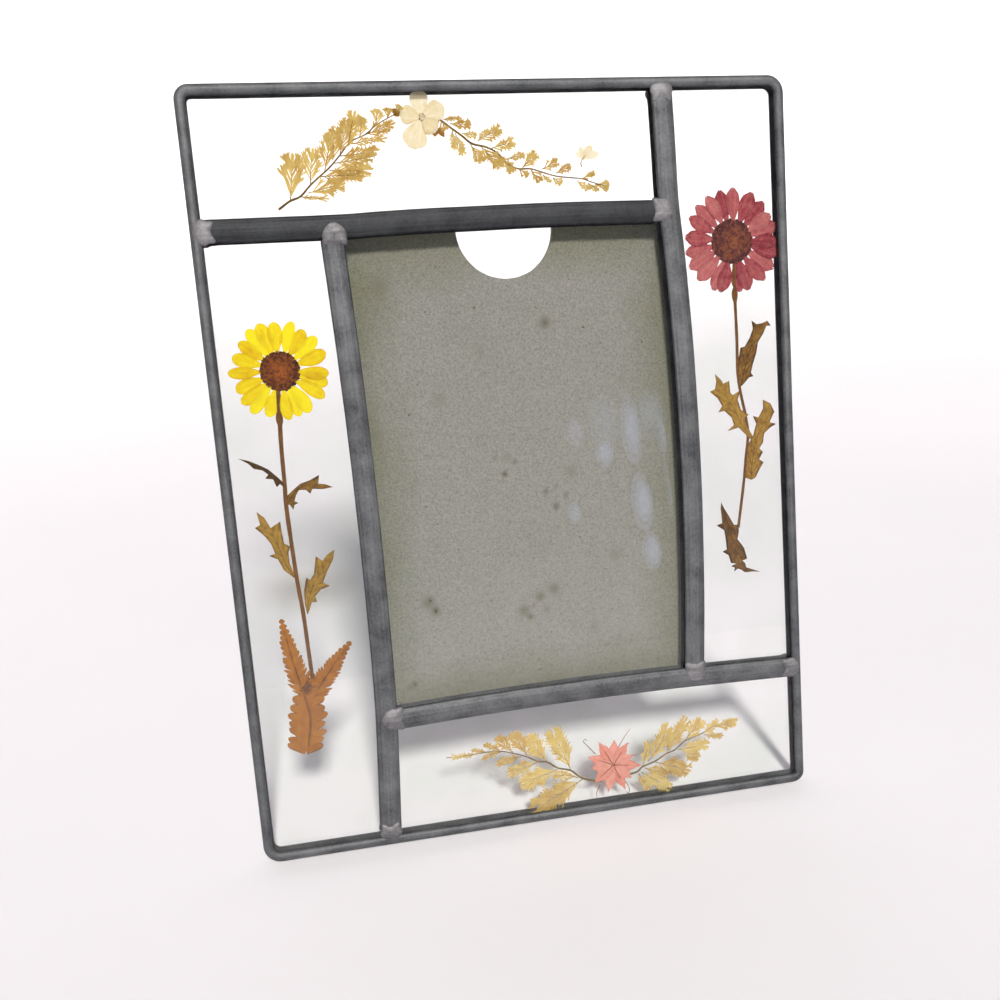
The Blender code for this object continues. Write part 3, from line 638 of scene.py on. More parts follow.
def board_stains_and_dent_shade(x, z):
    """How dark a board face is marked at (x, z): round stains, and painted shade on the lower side of each dent.
    """
    stain_and_shade_level = 0 * x
    for cx, cz, radius, strength in BOARD_STAINS:
        stain_and_shade_level = stain_and_shade_level + strength * np.exp(-((x - cx) ** 2 + (z - cz) ** 2) / radius**2)
    # Painted shade: the lower side of each dent is darkened.
    for cx, cz, radius, deep in BOARD_DENTS:
        away = ((x - cx) ** 2 + (z - cz + 0.3 * radius) ** 2) / (0.8 * radius) ** 2
        stain_and_shade_level = stain_and_shade_level + 1.1 * deep * np.exp(-away**2)
    return stain_and_shade_level


def board_face(x, z, low, high, seed, dented):
    """How far a board face sinks at (x, z): fine waves, worn edges and round dents."""
    rim = np.minimum(np.minimum(x - low[0], high[0] - x), z - low[2])
    sink = 0.03 * ripple(x * 0.4, z * 0.4, seed) + 0.35 * np.exp(-np.clip(rim, 0, None) / 0.35)
    if dented:
        for cx, cz, radius, deep in BOARD_DENTS:
            away = np.hypot(x - cx, z - cz) / radius
            sink = sink + deep * np.exp(-away**4) - 0.12 * deep * np.exp(-((away - 1.3) / 0.3) ** 2)
    return sink


def make_board(settings):
    """The board as upright slices along x. Each slice is a ring up its front and down its back;
    its top follows the edge, z = top - sqrt(r^2 - (x - notch)^2) within the thumb notch."""
    board = fibre_board("aged_fibre_board", tuple(settings.plain), tuple(settings.olive),
                        tuple(settings.stain))
    corners = upright("backing_board")
    low, high = corners.min(0), corners.max(0)
    notch = corners[(corners[:, 2] < high[2] - 1) & (corners[:, 2] > high[2] - 20)]
    notch_x = (notch[:, 0].min() + notch[:, 0].max()) / 2
    radius = high[2] - notch[:, 2].min()
    bow = notch_x - radius * np.cos(np.linspace(0, math.pi, 65))
    sides = [np.linspace(low[0], notch_x - radius, 70)[:-1], bow,
             np.linspace(notch_x + radius, high[0], 70)[1:]]
    x = np.concatenate(sides)[:, None]
    top = high[2] - np.sqrt(np.clip(radius**2 - (x - notch_x) ** 2, 0, None))
    top = top - 0.10 * (1 + ripple(x * 2.2, 0 * x, 31)) * (np.abs(x - notch_x) < radius)
    up = np.linspace(0, 1, 200)[None]
    down = np.linspace(1, 0, 40)[None]
    front_z = low[2] + (top - low[2]) * up
    back_z = low[2] + (top - low[2]) * down
    front = low[1] + board_face(x, front_z, low, high, 33, True)
    back = high[1] - board_face(x, back_z, low, high, 36, False)
    z = np.concatenate([front_z, back_z], 1)
    y = np.clip(np.concatenate([front, back], 1), low[1], high[1])
    rim = np.minimum(np.minimum(x - low[0], high[0] - x), np.minimum(z - low[2], high[2] - z))
    stains_and_dent_shade = board_stains_and_dent_shade(x, z) * (np.arange(z.shape[1]) < up.size)
    shape = together(x, y, z)[None], together(stains_and_dent_shade, 0, rim)[None]
    build("fibre_backing_board", [shape], board, ["backing_board"])


# Glass

def make_glass(settings):
    """The CAD's panes have the right shape, so they only take their glass."""
    glass = float_glass("clear_float_glass", tuple(settings.tint), settings.smudge)
    for name, node in frame["nodes"].items():
        if "_glass" in name:
            node.data.materials.clear()
            node.data.materials.append(glass)


# Steel at the back

def rounded(points, radius, steps=4):
    """A closed outline whose corners are rounded: each is a curve pulled towards the corner."""
    points = np.asarray(points, float)
    before, after = np.roll(points, 1, 0) - points, np.roll(points, -1, 0) - points
    reach = [np.minimum(radius, 0.45 * np.linalg.norm(v, axis=1))[:, None]
             * v / np.linalg.norm(v, axis=1)[:, None] for v in (before, after)]
    t = np.linspace(0, 1, steps)[None, :, None]
    start, end, corner = points + reach[0], points + reach[1], points[:, None]
    curve = (1 - t) ** 2 * start[:, None] + 2 * t * (1 - t) * corner + t**2 * end[:, None]
    return curve.reshape(-1, 2)


def rail(name):
    """A folded rail: a wall beside the board with a lip behind it, its bends rounded."""
    low, high = span(name)
    flat = name == "bottom_rail"
    across = 2 if flat else 0
    wall_low = flat or name == "left_rail"
    wall, tip = (low[across], high[across]) if wall_low else (high[across], low[across])
    inward = 1 if tip > wall else -1
    inner = wall + inward * SHEET
    ring = rounded([(wall, low[1]), (inner, low[1]), (inner, high[1] - SHEET),
                    (tip, high[1] - SHEET), (tip, high[1]), (wall, high[1])], 0.3)
    along = np.linspace(low[2 - across], high[2 - across], 90)[:, None]
    a = ring[None, :, 0] + 0.05 * ripple(along * 0.12, 0 * along, 80 + len(name))
    b = ring[None, :, 1] + 0 * along
    return together(*((along, b, a) if flat else (a, b, along)))[None], np.zeros(3)


def strap():
    """The strap across the rails: a flat strip with rounded edges and a slight dish."""
    low, high = span("back_strap")
    ring = rounded([(low[1], low[2]), (high[1], low[2]), (high[1], high[2]), (low[1], high[2])],
                   0.35)
    x = np.linspace(low[0], high[0], 80)[:, None]
    z = ring[None, :, 1] + 0.08 * ripple(x * 0.2, 0 * x, 90)
    return together(x, ring[None, :, 0], z)[None], np.zeros(3)


def tube(name):
    """A hinge tube: its wall's section, rounded at the ends, spun round the pivot line."""
    low, high = span(name)
    _, y, z = (low + high) / 2
    outer = (high[2] - low[2]) / 2
    inner = outer - TUBE_WALL
    ring = rounded([(low[0], outer), (high[0], outer), (high[0], inner), (low[0], inner)], 0.18)
    turn = np.linspace(0, 2 * math.pi, 41)[:-1, None]
    x, reach = ring.T[:, None]
    return together(x, y + reach * np.cos(turn), z + reach * np.sin(turn))[None], np.zeros(3)


def stand_path():
    """The bent wire's line: in from one tube, down a leg, along the foot and up to the other."""
    corners = upright("wire_stand")
    leg_x = corners[:, 0].max() - WIRE_RADIUS
    pivot = to_upright(PIVOT) * [0, 1, 1]
    foot = corners[corners[:, 1] > corners[:, 1].max() - 2.2]
    length = np.linalg.norm(foot.mean(0)[1:] - pivot[1:])
    down = np.array([0.0, *(foot.mean(0)[1:] - pivot[1:]) / length])
    corner = np.array([(-WIRE_STUB, 0.0), (-leg_x, 0.0), (-leg_x, length), (leg_x, length),
                       (leg_x, 0.0), (WIRE_STUB, 0.0)])
    route = [corner[0]]
    for before, here, after, radius in zip(corner, corner[1:], corner[2:], WIRE_BENDS):
        back = (before - here) / np.linalg.norm(before - here)
        ahead = (after - here) / np.linalg.norm(after - here)
        turn = np.linspace(0, math.pi / 2, 13)[:, None]
        route += list(here + radius * (1 - np.sin(turn)) * back + radius * (1 - np.cos(turn)) * ahead)
    route = np.array(route + [corner[-1]])
    step = np.concatenate([[0], np.cumsum(np.linalg.norm(np.diff(route, axis=0), axis=1))])
    even = np.linspace(0, step[-1], 260)
    flat = np.stack([np.interp(even, step, route[:, i]) for i in (0, 1)], -1)
    points = flat[:, :1] * np.array([1.0, 0, 0]) + flat[:, 1:] * down + pivot
    return points, np.cross(np.array([1.0, 0, 0]), down)


def make_steel(settings):
    """The rails that hold the board, the strap and the hinge tubes."""
    steel = tinned_steel("tinned_steel_strip", tuple(settings.bright), tuple(settings.dull))
    for name in ("left_rail", "right_rail", "bottom_rail"):
        build(f"{name}_folded", [rail(name)], steel, [name], sharp=35)
    build("back_strap_strip", [strap()], steel, ["back_strap"], sharp=35)
    for name in ("left_hinge_tube", "right_hinge_tube"):
        build(f"{name}_rolled", [tube(name)], steel, [name], ring=True, sharp=35)


def make_stand(settings):
    """The wire that turns in the tubes. It is drawn a hair thinner than their bores."""
    wire = tinned_steel("bright_spring_wire", tuple(settings.bright), tuple(settings.dull))
    path, facing = stand_path()
    shape = carry(path, round_section(WIRE_RADIUS - 0.02, 16), facing)
    build("bent_wire_stand", [(shape, np.zeros(3))], wire, ["wire_stand"], body="stand")


# Pressed flowers

def flower_head(centre, disc, tip, count, half, notch, seed, tones):
    """Ray petals round a disc: seeded small changes in angle, length, width and shade, and each
    petal at its own depth between the panes."""
    draw = np.random.default_rng(seed)
    turn = 2 * math.pi * (np.arange(count) + draw.normal(0, 0.16, count)) / count
    inner = disc * 0.9
    base = centre + inner * np.stack([np.cos(turn), np.sin(turn)], -1)
    length = (tip - inner) * draw.uniform(0.88, 1.0, count)
    heading = turn + draw.normal(0, 0.05, count)
    depth = 0.15 * (2 * (np.arange(count) * 0.618 % 1) - 1)
    shade = draw.uniform(*tones, count)
    return blades(base, heading, length, half * draw.uniform(0.86, 1.12, count), depth, shade,
                  ray_swell, rows=18, cols=16, bend=draw.normal(0, 0.18, count), notch=notch)


def disc_florets(centre, radius, count, seed):
    """A flower's eye: buds set at the golden angle, paler towards the middle."""
    draw = np.random.default_rng(seed)
    share = np.sqrt((np.arange(count) + 0.5) / count)
    turn = np.arange(count) * GOLDEN_TURN
    spot = centre + (radius * 0.97 * share)[:, None] * np.stack([np.cos(turn), np.sin(turn)], -1)
    size = radius / math.sqrt(count) * draw.uniform(0.95, 1.35, count)
    shade = 0.15 + 0.45 * share**2 + draw.uniform(-0.25, 0.3, count)
    front = domes(spot, size, draw.uniform(0.12, 0.2, count), -0.06, shade)
    back = domes(spot[::2], size[::2] * 1.3, -0.12, 0.06, shade[::2] + 0.2)
    plates = [domes(np.array([centre]), radius, rise, 0.0, 0.6, cols=40) for rise in (0.08, -0.08)]
    return [front, back, *plates]


# Leaves of the two tall flowers: outline, midrib and how dark it has dried.
YELLOW_LEAVES = {
    "yellow_leaf_1": ([(-61.1, 99.6), (-63, 101.8), (-64.9, 103.8), (-67, 105.1), (-69.5, 106.4),
                       (-72, 107.2), (-69.7, 105.7), (-68.5, 104.3), (-66.5, 103.8), (-64.8, 102.3),
                       (-66, 101.6), (-64.1, 101.3), (-63.4, 99.2), (-62.6, 100), (-61.3, 98.7)],
                      [(-61.2, 99.2), (-63.6, 101.8), (-67, 104.6), (-71.8, 107.1)], 0.85),
    "yellow_leaf_2": ([(-61.1, 96.8), (-59.4, 98.2), (-57.5, 99.6), (-55.2, 100.2), (-52.6, 101.4),
                       (-53.4, 99.3), (-51.3, 98.9), (-49.4, 98), (-52.1, 97.7), (-54.6, 98),
                       (-55.3, 96.8), (-56.3, 97.9), (-58, 98), (-58.9, 96.7), (-59.4, 95.3),
                       (-58.5, 94.7), (-59.5, 94.3), (-59.9, 93.1), (-60.6, 94.6), (-61.2, 94.3)],
                      [(-61, 95), (-59.7, 96.8), (-57.4, 98.8), (-54, 99), (-50, 98.2)], 0.5),
    "yellow_leaf_3": ([(-61.3, 75.2), (-63.9, 77.7), (-65.1, 80.7), (-67.2, 81.8), (-65.6, 82.2),
                       (-66.4, 84.9), (-67.8, 87.1), (-69.9, 89.3), (-68.2, 88.7), (-68.6, 90.3),
                       (-69.1, 93.4), (-67.3, 91.7), (-65.7, 88.2), (-64.3, 88.5), (-63.5, 90.4),
                       (-63.4, 87.6), (-63.1, 84.6), (-61.7, 83.7), (-62.3, 82.2), (-62.3, 79.3),
                       (-61.5, 76.7)],
                      [(-61.5, 75.6), (-63.4, 79.6), (-64.9, 84.8), (-67, 89), (-68.9, 92.6)], 0.22),
    "yellow_leaf_4": ([(-59.3, 65.4), (-59.6, 68.3), (-59.5, 71.6), (-58.6, 75.1), (-58.1, 73.8),
                       (-56.5, 76), (-55.6, 80.5), (-54.5, 78.6), (-52.9, 80.4), (-50.7, 81.9),
                       (-51.3, 79.3), (-53, 76.5), (-54.5, 73.4), (-52.8, 72.4), (-55.2, 71.7),
                       (-56.8, 70.1), (-56.5, 68.6), (-57.8, 68.6), (-58.6, 66.6)],
                      [(-59.2, 65.8), (-58.4, 69.6), (-56.8, 73.2), (-54.2, 77.2), (-51.2, 81.2)],
                      0.25),
}
RED_LEAVES = {
    "red_leaf_1": ([(62.3, 115.2), (61.9, 119.1), (62.4, 122.9), (63.1, 126.1), (64.3, 126.3),
                    (65.8, 128.4), (66.9, 130.9), (66.6, 133.2), (67.8, 132.1), (69.7, 132.3),
                    (71.2, 132.9), (72.2, 131.5), (70.9, 131.5), (69.8, 129.4), (68.3, 127.3),
                    (67.7, 124.5), (66.5, 121.3), (65.9, 119.1), (66.6, 118.2), (65.3, 117.9),
                    (63.6, 116.2)],
                   [(62.8, 115.8), (64, 120), (65.4, 124.4), (67.6, 128.6), (69.8, 131.8)], 0.5),
    "red_leaf_2": ([(65.6, 100.3), (63.6, 102.4), (61.6, 104.5), (58.3, 103.7), (60.3, 105.3),
                    (59.7, 107.3), (57.7, 109.3), (55.9, 109.1), (57.1, 110.7), (55.8, 113),
                    (53.7, 114.8), (55.2, 115.3), (55.7, 117.5), (55.3, 119.6), (57.1, 117.8),
                    (58, 116.1), (59.4, 117.4), (59.6, 114.1), (60.6, 113.2), (62.5, 114.6),
                    (61.7, 112), (62.5, 109.3), (64.7, 107.8), (63.4, 106.7), (64.7, 103.6),
                    (66.5, 100.4)],
                   [(65.6, 101), (63.2, 104.2), (60.8, 109), (58.4, 113.4), (56, 118.6)], 0.2),
    "red_leaf_3": ([(63.1, 90.4), (62.9, 94.2), (63.8, 98.8), (65.9, 101.9), (66.9, 105.1),
                    (66, 107.3), (67.6, 106.7), (69.1, 109.2), (69.1, 111.6), (71.3, 110.4),
                    (72.4, 108), (71.5, 106.4), (70.9, 105.2), (72.8, 104.6), (71, 103.7),
                    (69.2, 102.3), (68.7, 99.7), (67.6, 98.2), (68.6, 97.1), (67.4, 95.2),
                    (68.7, 94.2), (67.4, 92.4), (66.2, 90.2), (64.9, 89.6)],
                   [(64.8, 90.4), (65.4, 95), (66.6, 100), (68.6, 104.6), (70.2, 110)], 0.3),
    "red_leaf_4": ([(55.7, 84.2), (56.4, 82.5), (57.7, 80.2), (59.1, 77.5), (60.5, 77.3),
                    (60.5, 75.2), (60, 73.3), (60.9, 72.1), (61.9, 70.6), (62.7, 67.5),
                    (61.9, 69.8), (61.4, 69.6), (61.1, 67.1), (62, 66.3), (62.3, 65), (66.5, 63.3),
                    (64.2, 63.6), (61.9, 63.6), (60.6, 64.6), (59.5, 65), (58.6, 64.2), (58.9, 65.3),
                    (57.8, 65.8), (59.4, 66.4), (57.8, 66.7), (57.2, 69), (55.4, 70.2),
                    (56.7, 70.7), (56.6, 72.9), (56.2, 76.2), (54, 77.8), (55.7, 78.3),
                    (55.6, 80.2), (55.4, 82.4)],
                   [(55.9, 83), (57.4, 77.6), (58.9, 72), (59.9, 67), (61.4, 64.4), (65.6, 63.5)],
                   0.62),
}
YELLOW_STEM = [(-60.4, 124.6), (-60.9, 115.3), (-61.2, 109.2), (-61.4, 99.5), (-61.6, 94.3),
               (-61.3, 83.8), (-60.9, 74.4), (-60.3, 66), (-60, 56.3), (-59.7, 46)]
RED_STEM = [(62.2, 150), (62.1, 139.3), (62.2, 129.2), (62.1, 120), (62.6, 114.5), (63.8, 108),
            (64.4, 102.4), (63.6, 96.4), (62.8, 90.3), (61.6, 83), (60.5, 76.6)]


def make_daisy(settings, label, half, notch, seed, tones, leaves, stem, widths, finishes):
    """A tall pressed flower: head, eye, stem and toothed leaves, a piece each."""
    petal, eye, green, stalk_finish = finishes
    centre, disc = centre_and_reach(f"{label}_flower_disc")
    tip = centre_and_reach(f"{label}_petals")[1]
    count = settings.yellow_rays if label == "yellow" else settings.red_rays
    head = flower_head(centre, disc, tip, count, half, notch, seed, tones)
    build(f"{label}_ray_petals", [head], petal, [f"{label}_petals"])
    build(f"{label}_disc_florets", disc_florets(centre, disc, 260, seed + 1), eye,
          [f"{label}_flower_disc"], sharp=80)
    line = stalk(stem, *widths, 0.1, 0.45, count=90, cols=12)
    calyx = blades([stem[1] + np.array([0, 3.2])], math.radians(-90), 5.0, 0.9, 0.12, 0.35,
                   lobe_swell, rows=10, cols=8)
    build(f"{label}_stalk", [line, calyx], stalk_finish, [f"{label}_stem"])
    for depth, (name, (outline, midrib, shade)) in zip((0.0, -0.12, 0.03, -0.1), leaves.items()):
        blade = leaf(outline, midrib, depth, shade)
        rib = stalk(midrib, 0.2, 0.07, depth - 0.03, shade + 0.3, cols=6)
        build(f"{name}_blade", [blade, rib], green, [name])


def make_tall_flowers(settings):
    """Yellow and dyed red daisies pressed whole, with their stems and leaves."""
    eye = pressed_plant("dried_disc_florets", linear("#94501a"), linear("#5c2c0c"),
                        linear("#2a1005"), through=0.02, rim=0.0)
    red_eye = pressed_plant("dyed_disc_florets", linear("#8a4e34"), linear("#54292a"),
                            linear("#3c2422"), through=0.02, rim=0.0)
    green = pressed_plant("dried_toothed_leaf", tuple(settings.leaf), linear("#7e5a1e"),
                          linear("#46300f"), veins=(7.0, -1.6), through=0.22, rim=0.42)
    red_green = pressed_plant("dried_rust_leaf", tuple(settings.leaf), linear("#7c5420"),
                              linear("#432c10"), veins=(7.0, -1.6), through=0.2, rim=0.42)
    yellow = pressed_plant("pressed_yellow_petal", tuple(settings.yellow), linear("#e9ca04"),
                           linear("#a86a00"), veins=(0.0, 2.0), through=0.55, rim=0.3)
    red = pressed_plant("dyed_red_petal", linear("#d48a88"), tuple(settings.red),
                        linear("#7a2234"), veins=(0.0, 2.0), through=0.45, rim=0.28)
    stem = pressed_plant("dried_flower_stem", linear("#936634"), linear("#6a441c"),
                         linear("#4a2c10"), veins=(0.0, 1.0), through=0.12)
    make_daisy(settings, "yellow", 1.75, 0.0, 41, (-0.15, 0.3), YELLOW_LEAVES, YELLOW_STEM,
               (0.55, 0.5), (yellow, eye, green, stem))
    make_daisy(settings, "red", 2.05, 0.08, 47, (0.05, 0.5), RED_LEAVES, RED_STEM, (0.45, 0.42),
               (red, red_eye, red_green, stem))


def tabbed_frond(line, reach, count, lean, depth, shade, seed):
    """A fern frond: a broad midrib with rounded tabs in pairs, parted by narrow slits. Each tab
    leans forward from the midrib and is as long as the frond's reach asks for there."""
    draw = np.random.default_rng(seed)
    path = smooth_line(line, count)
    run = np.gradient(path, axis=0)
    tangent = np.arctan2(run[:, 1], run[:, 0])
    step = np.linalg.norm(run, axis=1)
    wide = np.interp(np.linspace(0, 1, count), np.linspace(0, 1, len(reach)), reach)
    shapes = []
    for hand in (1, -1):
        heading = tangent + hand * math.radians(lean) + draw.normal(0, 0.04, count)
        length = wide / math.sin(math.radians(lean)) * draw.uniform(0.9, 1.05, count)
        half = 0.55 * step * math.sin(math.radians(lean)) * draw.uniform(0.94, 1.04, count)
        level = depth + hand * 0.015 + draw.uniform(-0.01, 0.01, count)
        tone = shade + draw.uniform(-0.08, 0.08, count)
        shapes.append(blades(path, heading, length, half, level, tone, tab_swell, rows=9, cols=8,
                             thick=0.04))
    core = smooth_line(line, 60)
    rib = np.interp(np.linspace(0, 1, 60), np.linspace(0, 1, len(reach)), 0.6 * np.array(reach))
    shape = carry(in_glass(core, depth), round_section(rib, 12) * np.array([1.0, 0.0])
                  + round_section(0.045, 12) * np.array([0.0, 1.0]))
    across = np.cos(2 * math.pi * np.arange(12) / 12)
    shapes.append((shape, together(np.linspace(0, 1, 60)[:, None], 0.5 * across, shade)[None]))
    return shapes


def make_rust_fern(settings):
    """Two fern tips on one broad base of tabs, pressed across the yellow flower's stem."""
    rust = pressed_plant("pressed_rust_fern", tuple(settings.rust), linear("#875010"),
                         linear("#4c2608"), veins=(0.0, 1.4), through=0.06, rim=0.45)
    shapes = tabbed_frond([(-61.8, 43.5), (-63.0, 48.5), (-64.6, 55.6), (-65.9, 64.3)],
                          (3.1, 3.0, 2.5, 1.7, 0.5), 17, 44, 0.02, 0.2, 61)
    shapes += tabbed_frond([(-60.4, 43.0), (-57.6, 46.8), (-54.3, 50.9), (-49.5, 56.4)],
                           (3.1, 2.9, 2.5, 1.7, 0.5), 15, 46, 0.07, 0.26, 62)
    shapes += tabbed_frond([(-63.4, 28.8), (-62.6, 34.0), (-61.8, 40.0), (-60.7, 47.0)],
                           (4.6, 4.9, 5.2, 4.2, 1.6), 9, 68, -0.03, 0.24, 63)
    shapes += [stalk([(-65.6, 62), (-64.3, 54), (-62.7, 46), (-61.4, 38), (-62.6, 30)], 0.1, 0.32,
                     -0.08, 0.6),
               stalk([(-50.2, 55.4), (-54.4, 50.6), (-58, 46), (-61, 41)], 0.1, 0.28, 0.0, 0.6),
               stalk([(-62.0, 44.5), (-61.0, 46.0), (-60.2, 47.5)], 1.6, 1.2, -0.02, 0.66, cols=12,
                     flat=0.06)]
    build("rust_fern_tips", shapes, rust, ["yellow_rust_fern"])


# Fern sprigs: main stalk, then each side frond's foot, tip and half width.
TOP_LEFT = ([(-55.6, 167), (-52.7, 168.9), (-50.1, 169.9), (-47.4, 172.5), (-44.8, 174.6),
             (-42.5, 176.4), (-39.8, 179.1), (-36.7, 182.4), (-33, 184), (-29.7, 186.4),
             (-25.1, 188.7)],
            [(-52.6, 168.9, -50.8, 180.6, 2.9), (-47.4, 172.7, -45.8, 181.5, 2.2),
             (-43.6, 175.8, -41.5, 185.4, 1.9), (-41.4, 178.1, -39.3, 186.4, 1.9),
             (-39.5, 179.7, -36.5, 188.2, 1.9), (-37.4, 181.3, -34.7, 190, 1.8),
             (-34.4, 183.4, -33, 188.4, 1.4), (-30.1, 186.1, -29.4, 190.2, 1.4),
             (-27.2, 187.6, -27.2, 190.4, 1.3), (-25.1, 188.7, -23.8, 190.9, 1.6),
             (-50.1, 169.8, -42.6, 169, 0.6), (-48.1, 170.6, -38.5, 172.7, 2.1),
             (-44.9, 174.4, -33.2, 174.1, 1.7), (-42.5, 175.8, -31.2, 175.9, 1.7),
             (-41.1, 177.4, -30.5, 179.1, 1.7), (-39.6, 179.1, -29.2, 180.5, 1.5),
             (-36.3, 181.9, -27, 183.2, 0.9), (-33, 184, -24.9, 186.8, 1.4)])
TOP_RIGHT = ([(-14.4, 187.3), (-11.6, 185.1), (-8.9, 183.1), (-6.6, 181.2), (-3.1, 180.3),
              (-0.3, 178.8), (2.3, 176.1), (4.8, 174.8), (8, 174.7), (10.9, 173.8), (14.5, 172.7),
              (18.2, 172.2), (21.5, 171.8), (23.7, 171), (28.5, 169.5)],
             [(-13.5, 187.2, -8.5, 187.4, 0.7), (-11.8, 186.1, -6, 185.7, 1.2),
              (-8.9, 183.7, -4.8, 183.2, 0.9), (-5.1, 181.7, -2.4, 184.6, 0.8),
              (-4.4, 182, 1.6, 184.6, 1.5), (-1.7, 179.9, 4.9, 181.1, 1.4),
              (2.4, 177.4, 7.2, 178.2, 1), (5.9, 175, 10.2, 178.6, 1.5),
              (11, 174.5, 15.5, 176.8, 1.2), (14.6, 173.4, 19.1, 175, 1),
              (21.5, 171.8, 25.3, 173.1, 0.8), (24.8, 170.3, 28.9, 169.8, 1.5),
              (-13.9, 186.8, -13.1, 184.2, 0.9), (-11.3, 184.5, -11.2, 179.4, 0.8),
              (-10.6, 183.8, -9, 178, 1.1), (-7, 181, -3.8, 176.5, 1.5),
              (-4.5, 180.6, 0.8, 175.1, 1.8), (0, 178.2, 3.9, 173.6, 1.3),
              (5.1, 174.6, 7.5, 172.8, 0.9), (8, 174.6, 11.1, 171.4, 1.2),
              (11.2, 173.1, 13.3, 171, 0.7), (13.7, 172.3, 16.2, 170.7, 1),
              (20, 171.5, 23.6, 168.9, 0.9), (22.9, 170.7, 26, 168.5, 0.8)])
BOTTOM_LEFT = ([(16.7, 8), (11.2, 9.7), (7.8, 12.6), (4.1, 13.9), (1.3, 16), (-1.5, 16.7),
                (-4.3, 18.4), (-8.2, 20), (-11.6, 21.1), (-16.1, 21.4), (-21.6, 21.2),
                (-26.6, 21.4)],
               [(7.8, 12.6, 2.2, 26, 2.6), (1.3, 16, -4.4, 24.9, 2.5), (-4.3, 18.9, -8, 26.5, 2),
                (-8.2, 20.3, -12.4, 25.8, 1.6), (-11.6, 21.2, -16.5, 24, 0.9),
                (-15.8, 21.5, -20, 22.7, 0.7), (11.2, 9.7, -5.8, 3.1, 3), (9.7, 10.2, 1.6, 12, 1.3),
                (4.1, 13.5, -7.5, 10.6, 2.5), (-1.6, 16.4, -11, 14.7, 1.6),
                (-6, 18.8, -13.9, 17.3, 1.1), (-11.6, 20.9, -17.4, 19.5, 0.8),
                (-18.1, 21.3, -26.3, 21.4, 0.7)])
BOTTOM_RIGHT = ([(22, 8.7), (26.8, 9.3), (28.7, 10.6), (32.5, 11.7), (35.8, 13.4), (38.7, 14.3),
                 (41.7, 16.4), (46.8, 17.9), (50.8, 19.6), (57.9, 20.3)],
                [(28.7, 10.9, 30.7, 18.6, 1.2), (30.4, 12, 37.3, 23.3, 2.2),
                 (36.1, 14, 37.8, 20.7, 0.9), (36.8, 14.2, 43, 23.8, 2),
                 (41.7, 16.7, 48, 22.2, 1.9), (46.8, 17.9, 52.4, 21.3, 1.3),
                 (50.8, 19.6, 58.2, 20.5, 1.5), (27.4, 8.9, 30.8, 2.9, 1),
                 (28.3, 9.1, 37.4, 2.6, 1.8), (29.3, 10.2, 36.7, 7.5, 1.3),
                 (32.5, 11.5, 43.4, 7.1, 2.3), (40.9, 13.7, 45.8, 10.1, 1.6),
                 (39.3, 14.2, 49.6, 15, 1.8), (47.5, 17.5, 53.8, 16.3, 0.9)])


def sprig(line, fronds, seed):
    """A lacy sprig: a stalk with side fronds, each a fine stalk with pairs of slim lobes that lean
    forward and end in three teeth, and a last lobe at its tip. Lobes reach widest near its foot."""
    draw = np.random.default_rng(seed)
    shapes = [stalk(line, 0.3, 0.12, 0.1, 0.8, count=60, cols=8)]
    parts = []
    lean = math.radians(25)
    for x, z, tip_x, tip_z, width in fronds:
        foot, tip = np.array([x, z]), np.array([tip_x, tip_z])
        run = tip - foot
        reach = np.linalg.norm(run)
        ahead = math.atan2(run[1], run[0])
        square = np.array([-run[1], run[0]]) / reach
        bow = draw.normal(0, 0.03) * reach
        level, tone = draw.uniform(-0.14, 0.14), draw.uniform(-0.05, 0.3)
        ribs = [foot, foot + run / 2 + square * bow, foot + run * 0.93]
        shapes.append(stalk(ribs, 0.13, 0.05, level, 0.7, count=12, cols=6))
        pairs = max(2, int(round(reach / 1.3)))
        share = 0.10 + 0.66 * np.arange(pairs) / pairs
        for hand in (1, -1):
            at = share + 0.18 * hand / pairs
            spread = width * (1.0 - 0.5 * at**2) * draw.uniform(0.8, 1.1, pairs)
            length = np.minimum(spread / math.sin(lean), (1.02 - at) * reach)
            spot = foot + run * at[:, None] + square * (bow * 4 * at * (1 - at))[:, None]
            heading = ahead + hand * lean + draw.normal(0, 0.07, pairs)
            half = 0.15 * reach / pairs + 0.07 * spread
            depth = level + draw.uniform(-0.06, 0.06, pairs)
            shade = tone + draw.uniform(-0.1, 0.12, pairs)
            parts.append((spot, heading, length, half, depth, shade))
            for side in (0.42, -0.42):
                root = 0.52 * length[:, None] * np.stack([np.cos(heading), np.sin(heading)], -1)
                parts.append((spot + root, heading + side, 0.46 * length, 0.6 * half,
                              depth + 0.02 * side, shade))
        end = foot + run * 0.62
        parts.append(([end] * 3, [ahead, ahead + 0.4, ahead - 0.4],
                      reach * np.array([0.38, 0.3, 0.3]), np.full(3, 0.14 * width + 0.16),
                      level + np.array([0.0, 0.03, -0.03]), np.full(3, tone)))
    joined = [np.concatenate([np.asarray(part[i], float) for part in parts]) for i in range(6)]
    shapes.append(blades(*joined, finger_swell, rows=6, cols=6, notch=0.16))
    return shapes


def make_ferns(settings):
    """Four gold sprigs, two in the panel along the top and two in the one along the bottom."""
    gold = pressed_plant("pressed_gold_fern", tuple(settings.fern), linear("#d2aa4c"),
                         linear("#80683a"), veins=(0.0, 1.0), through=0.5, rim=0.2)
    rows = {"top_fern_left": TOP_LEFT, "top_fern_right": TOP_RIGHT,
            "bottom_fern_left": BOTTOM_LEFT, "bottom_fern_right": BOTTOM_RIGHT}
    for seed, (name, (line, fronds)) in enumerate(rows.items()):
        build(f"{name}_sprig", sprig(line, fronds, 70 + seed), gold, [name])


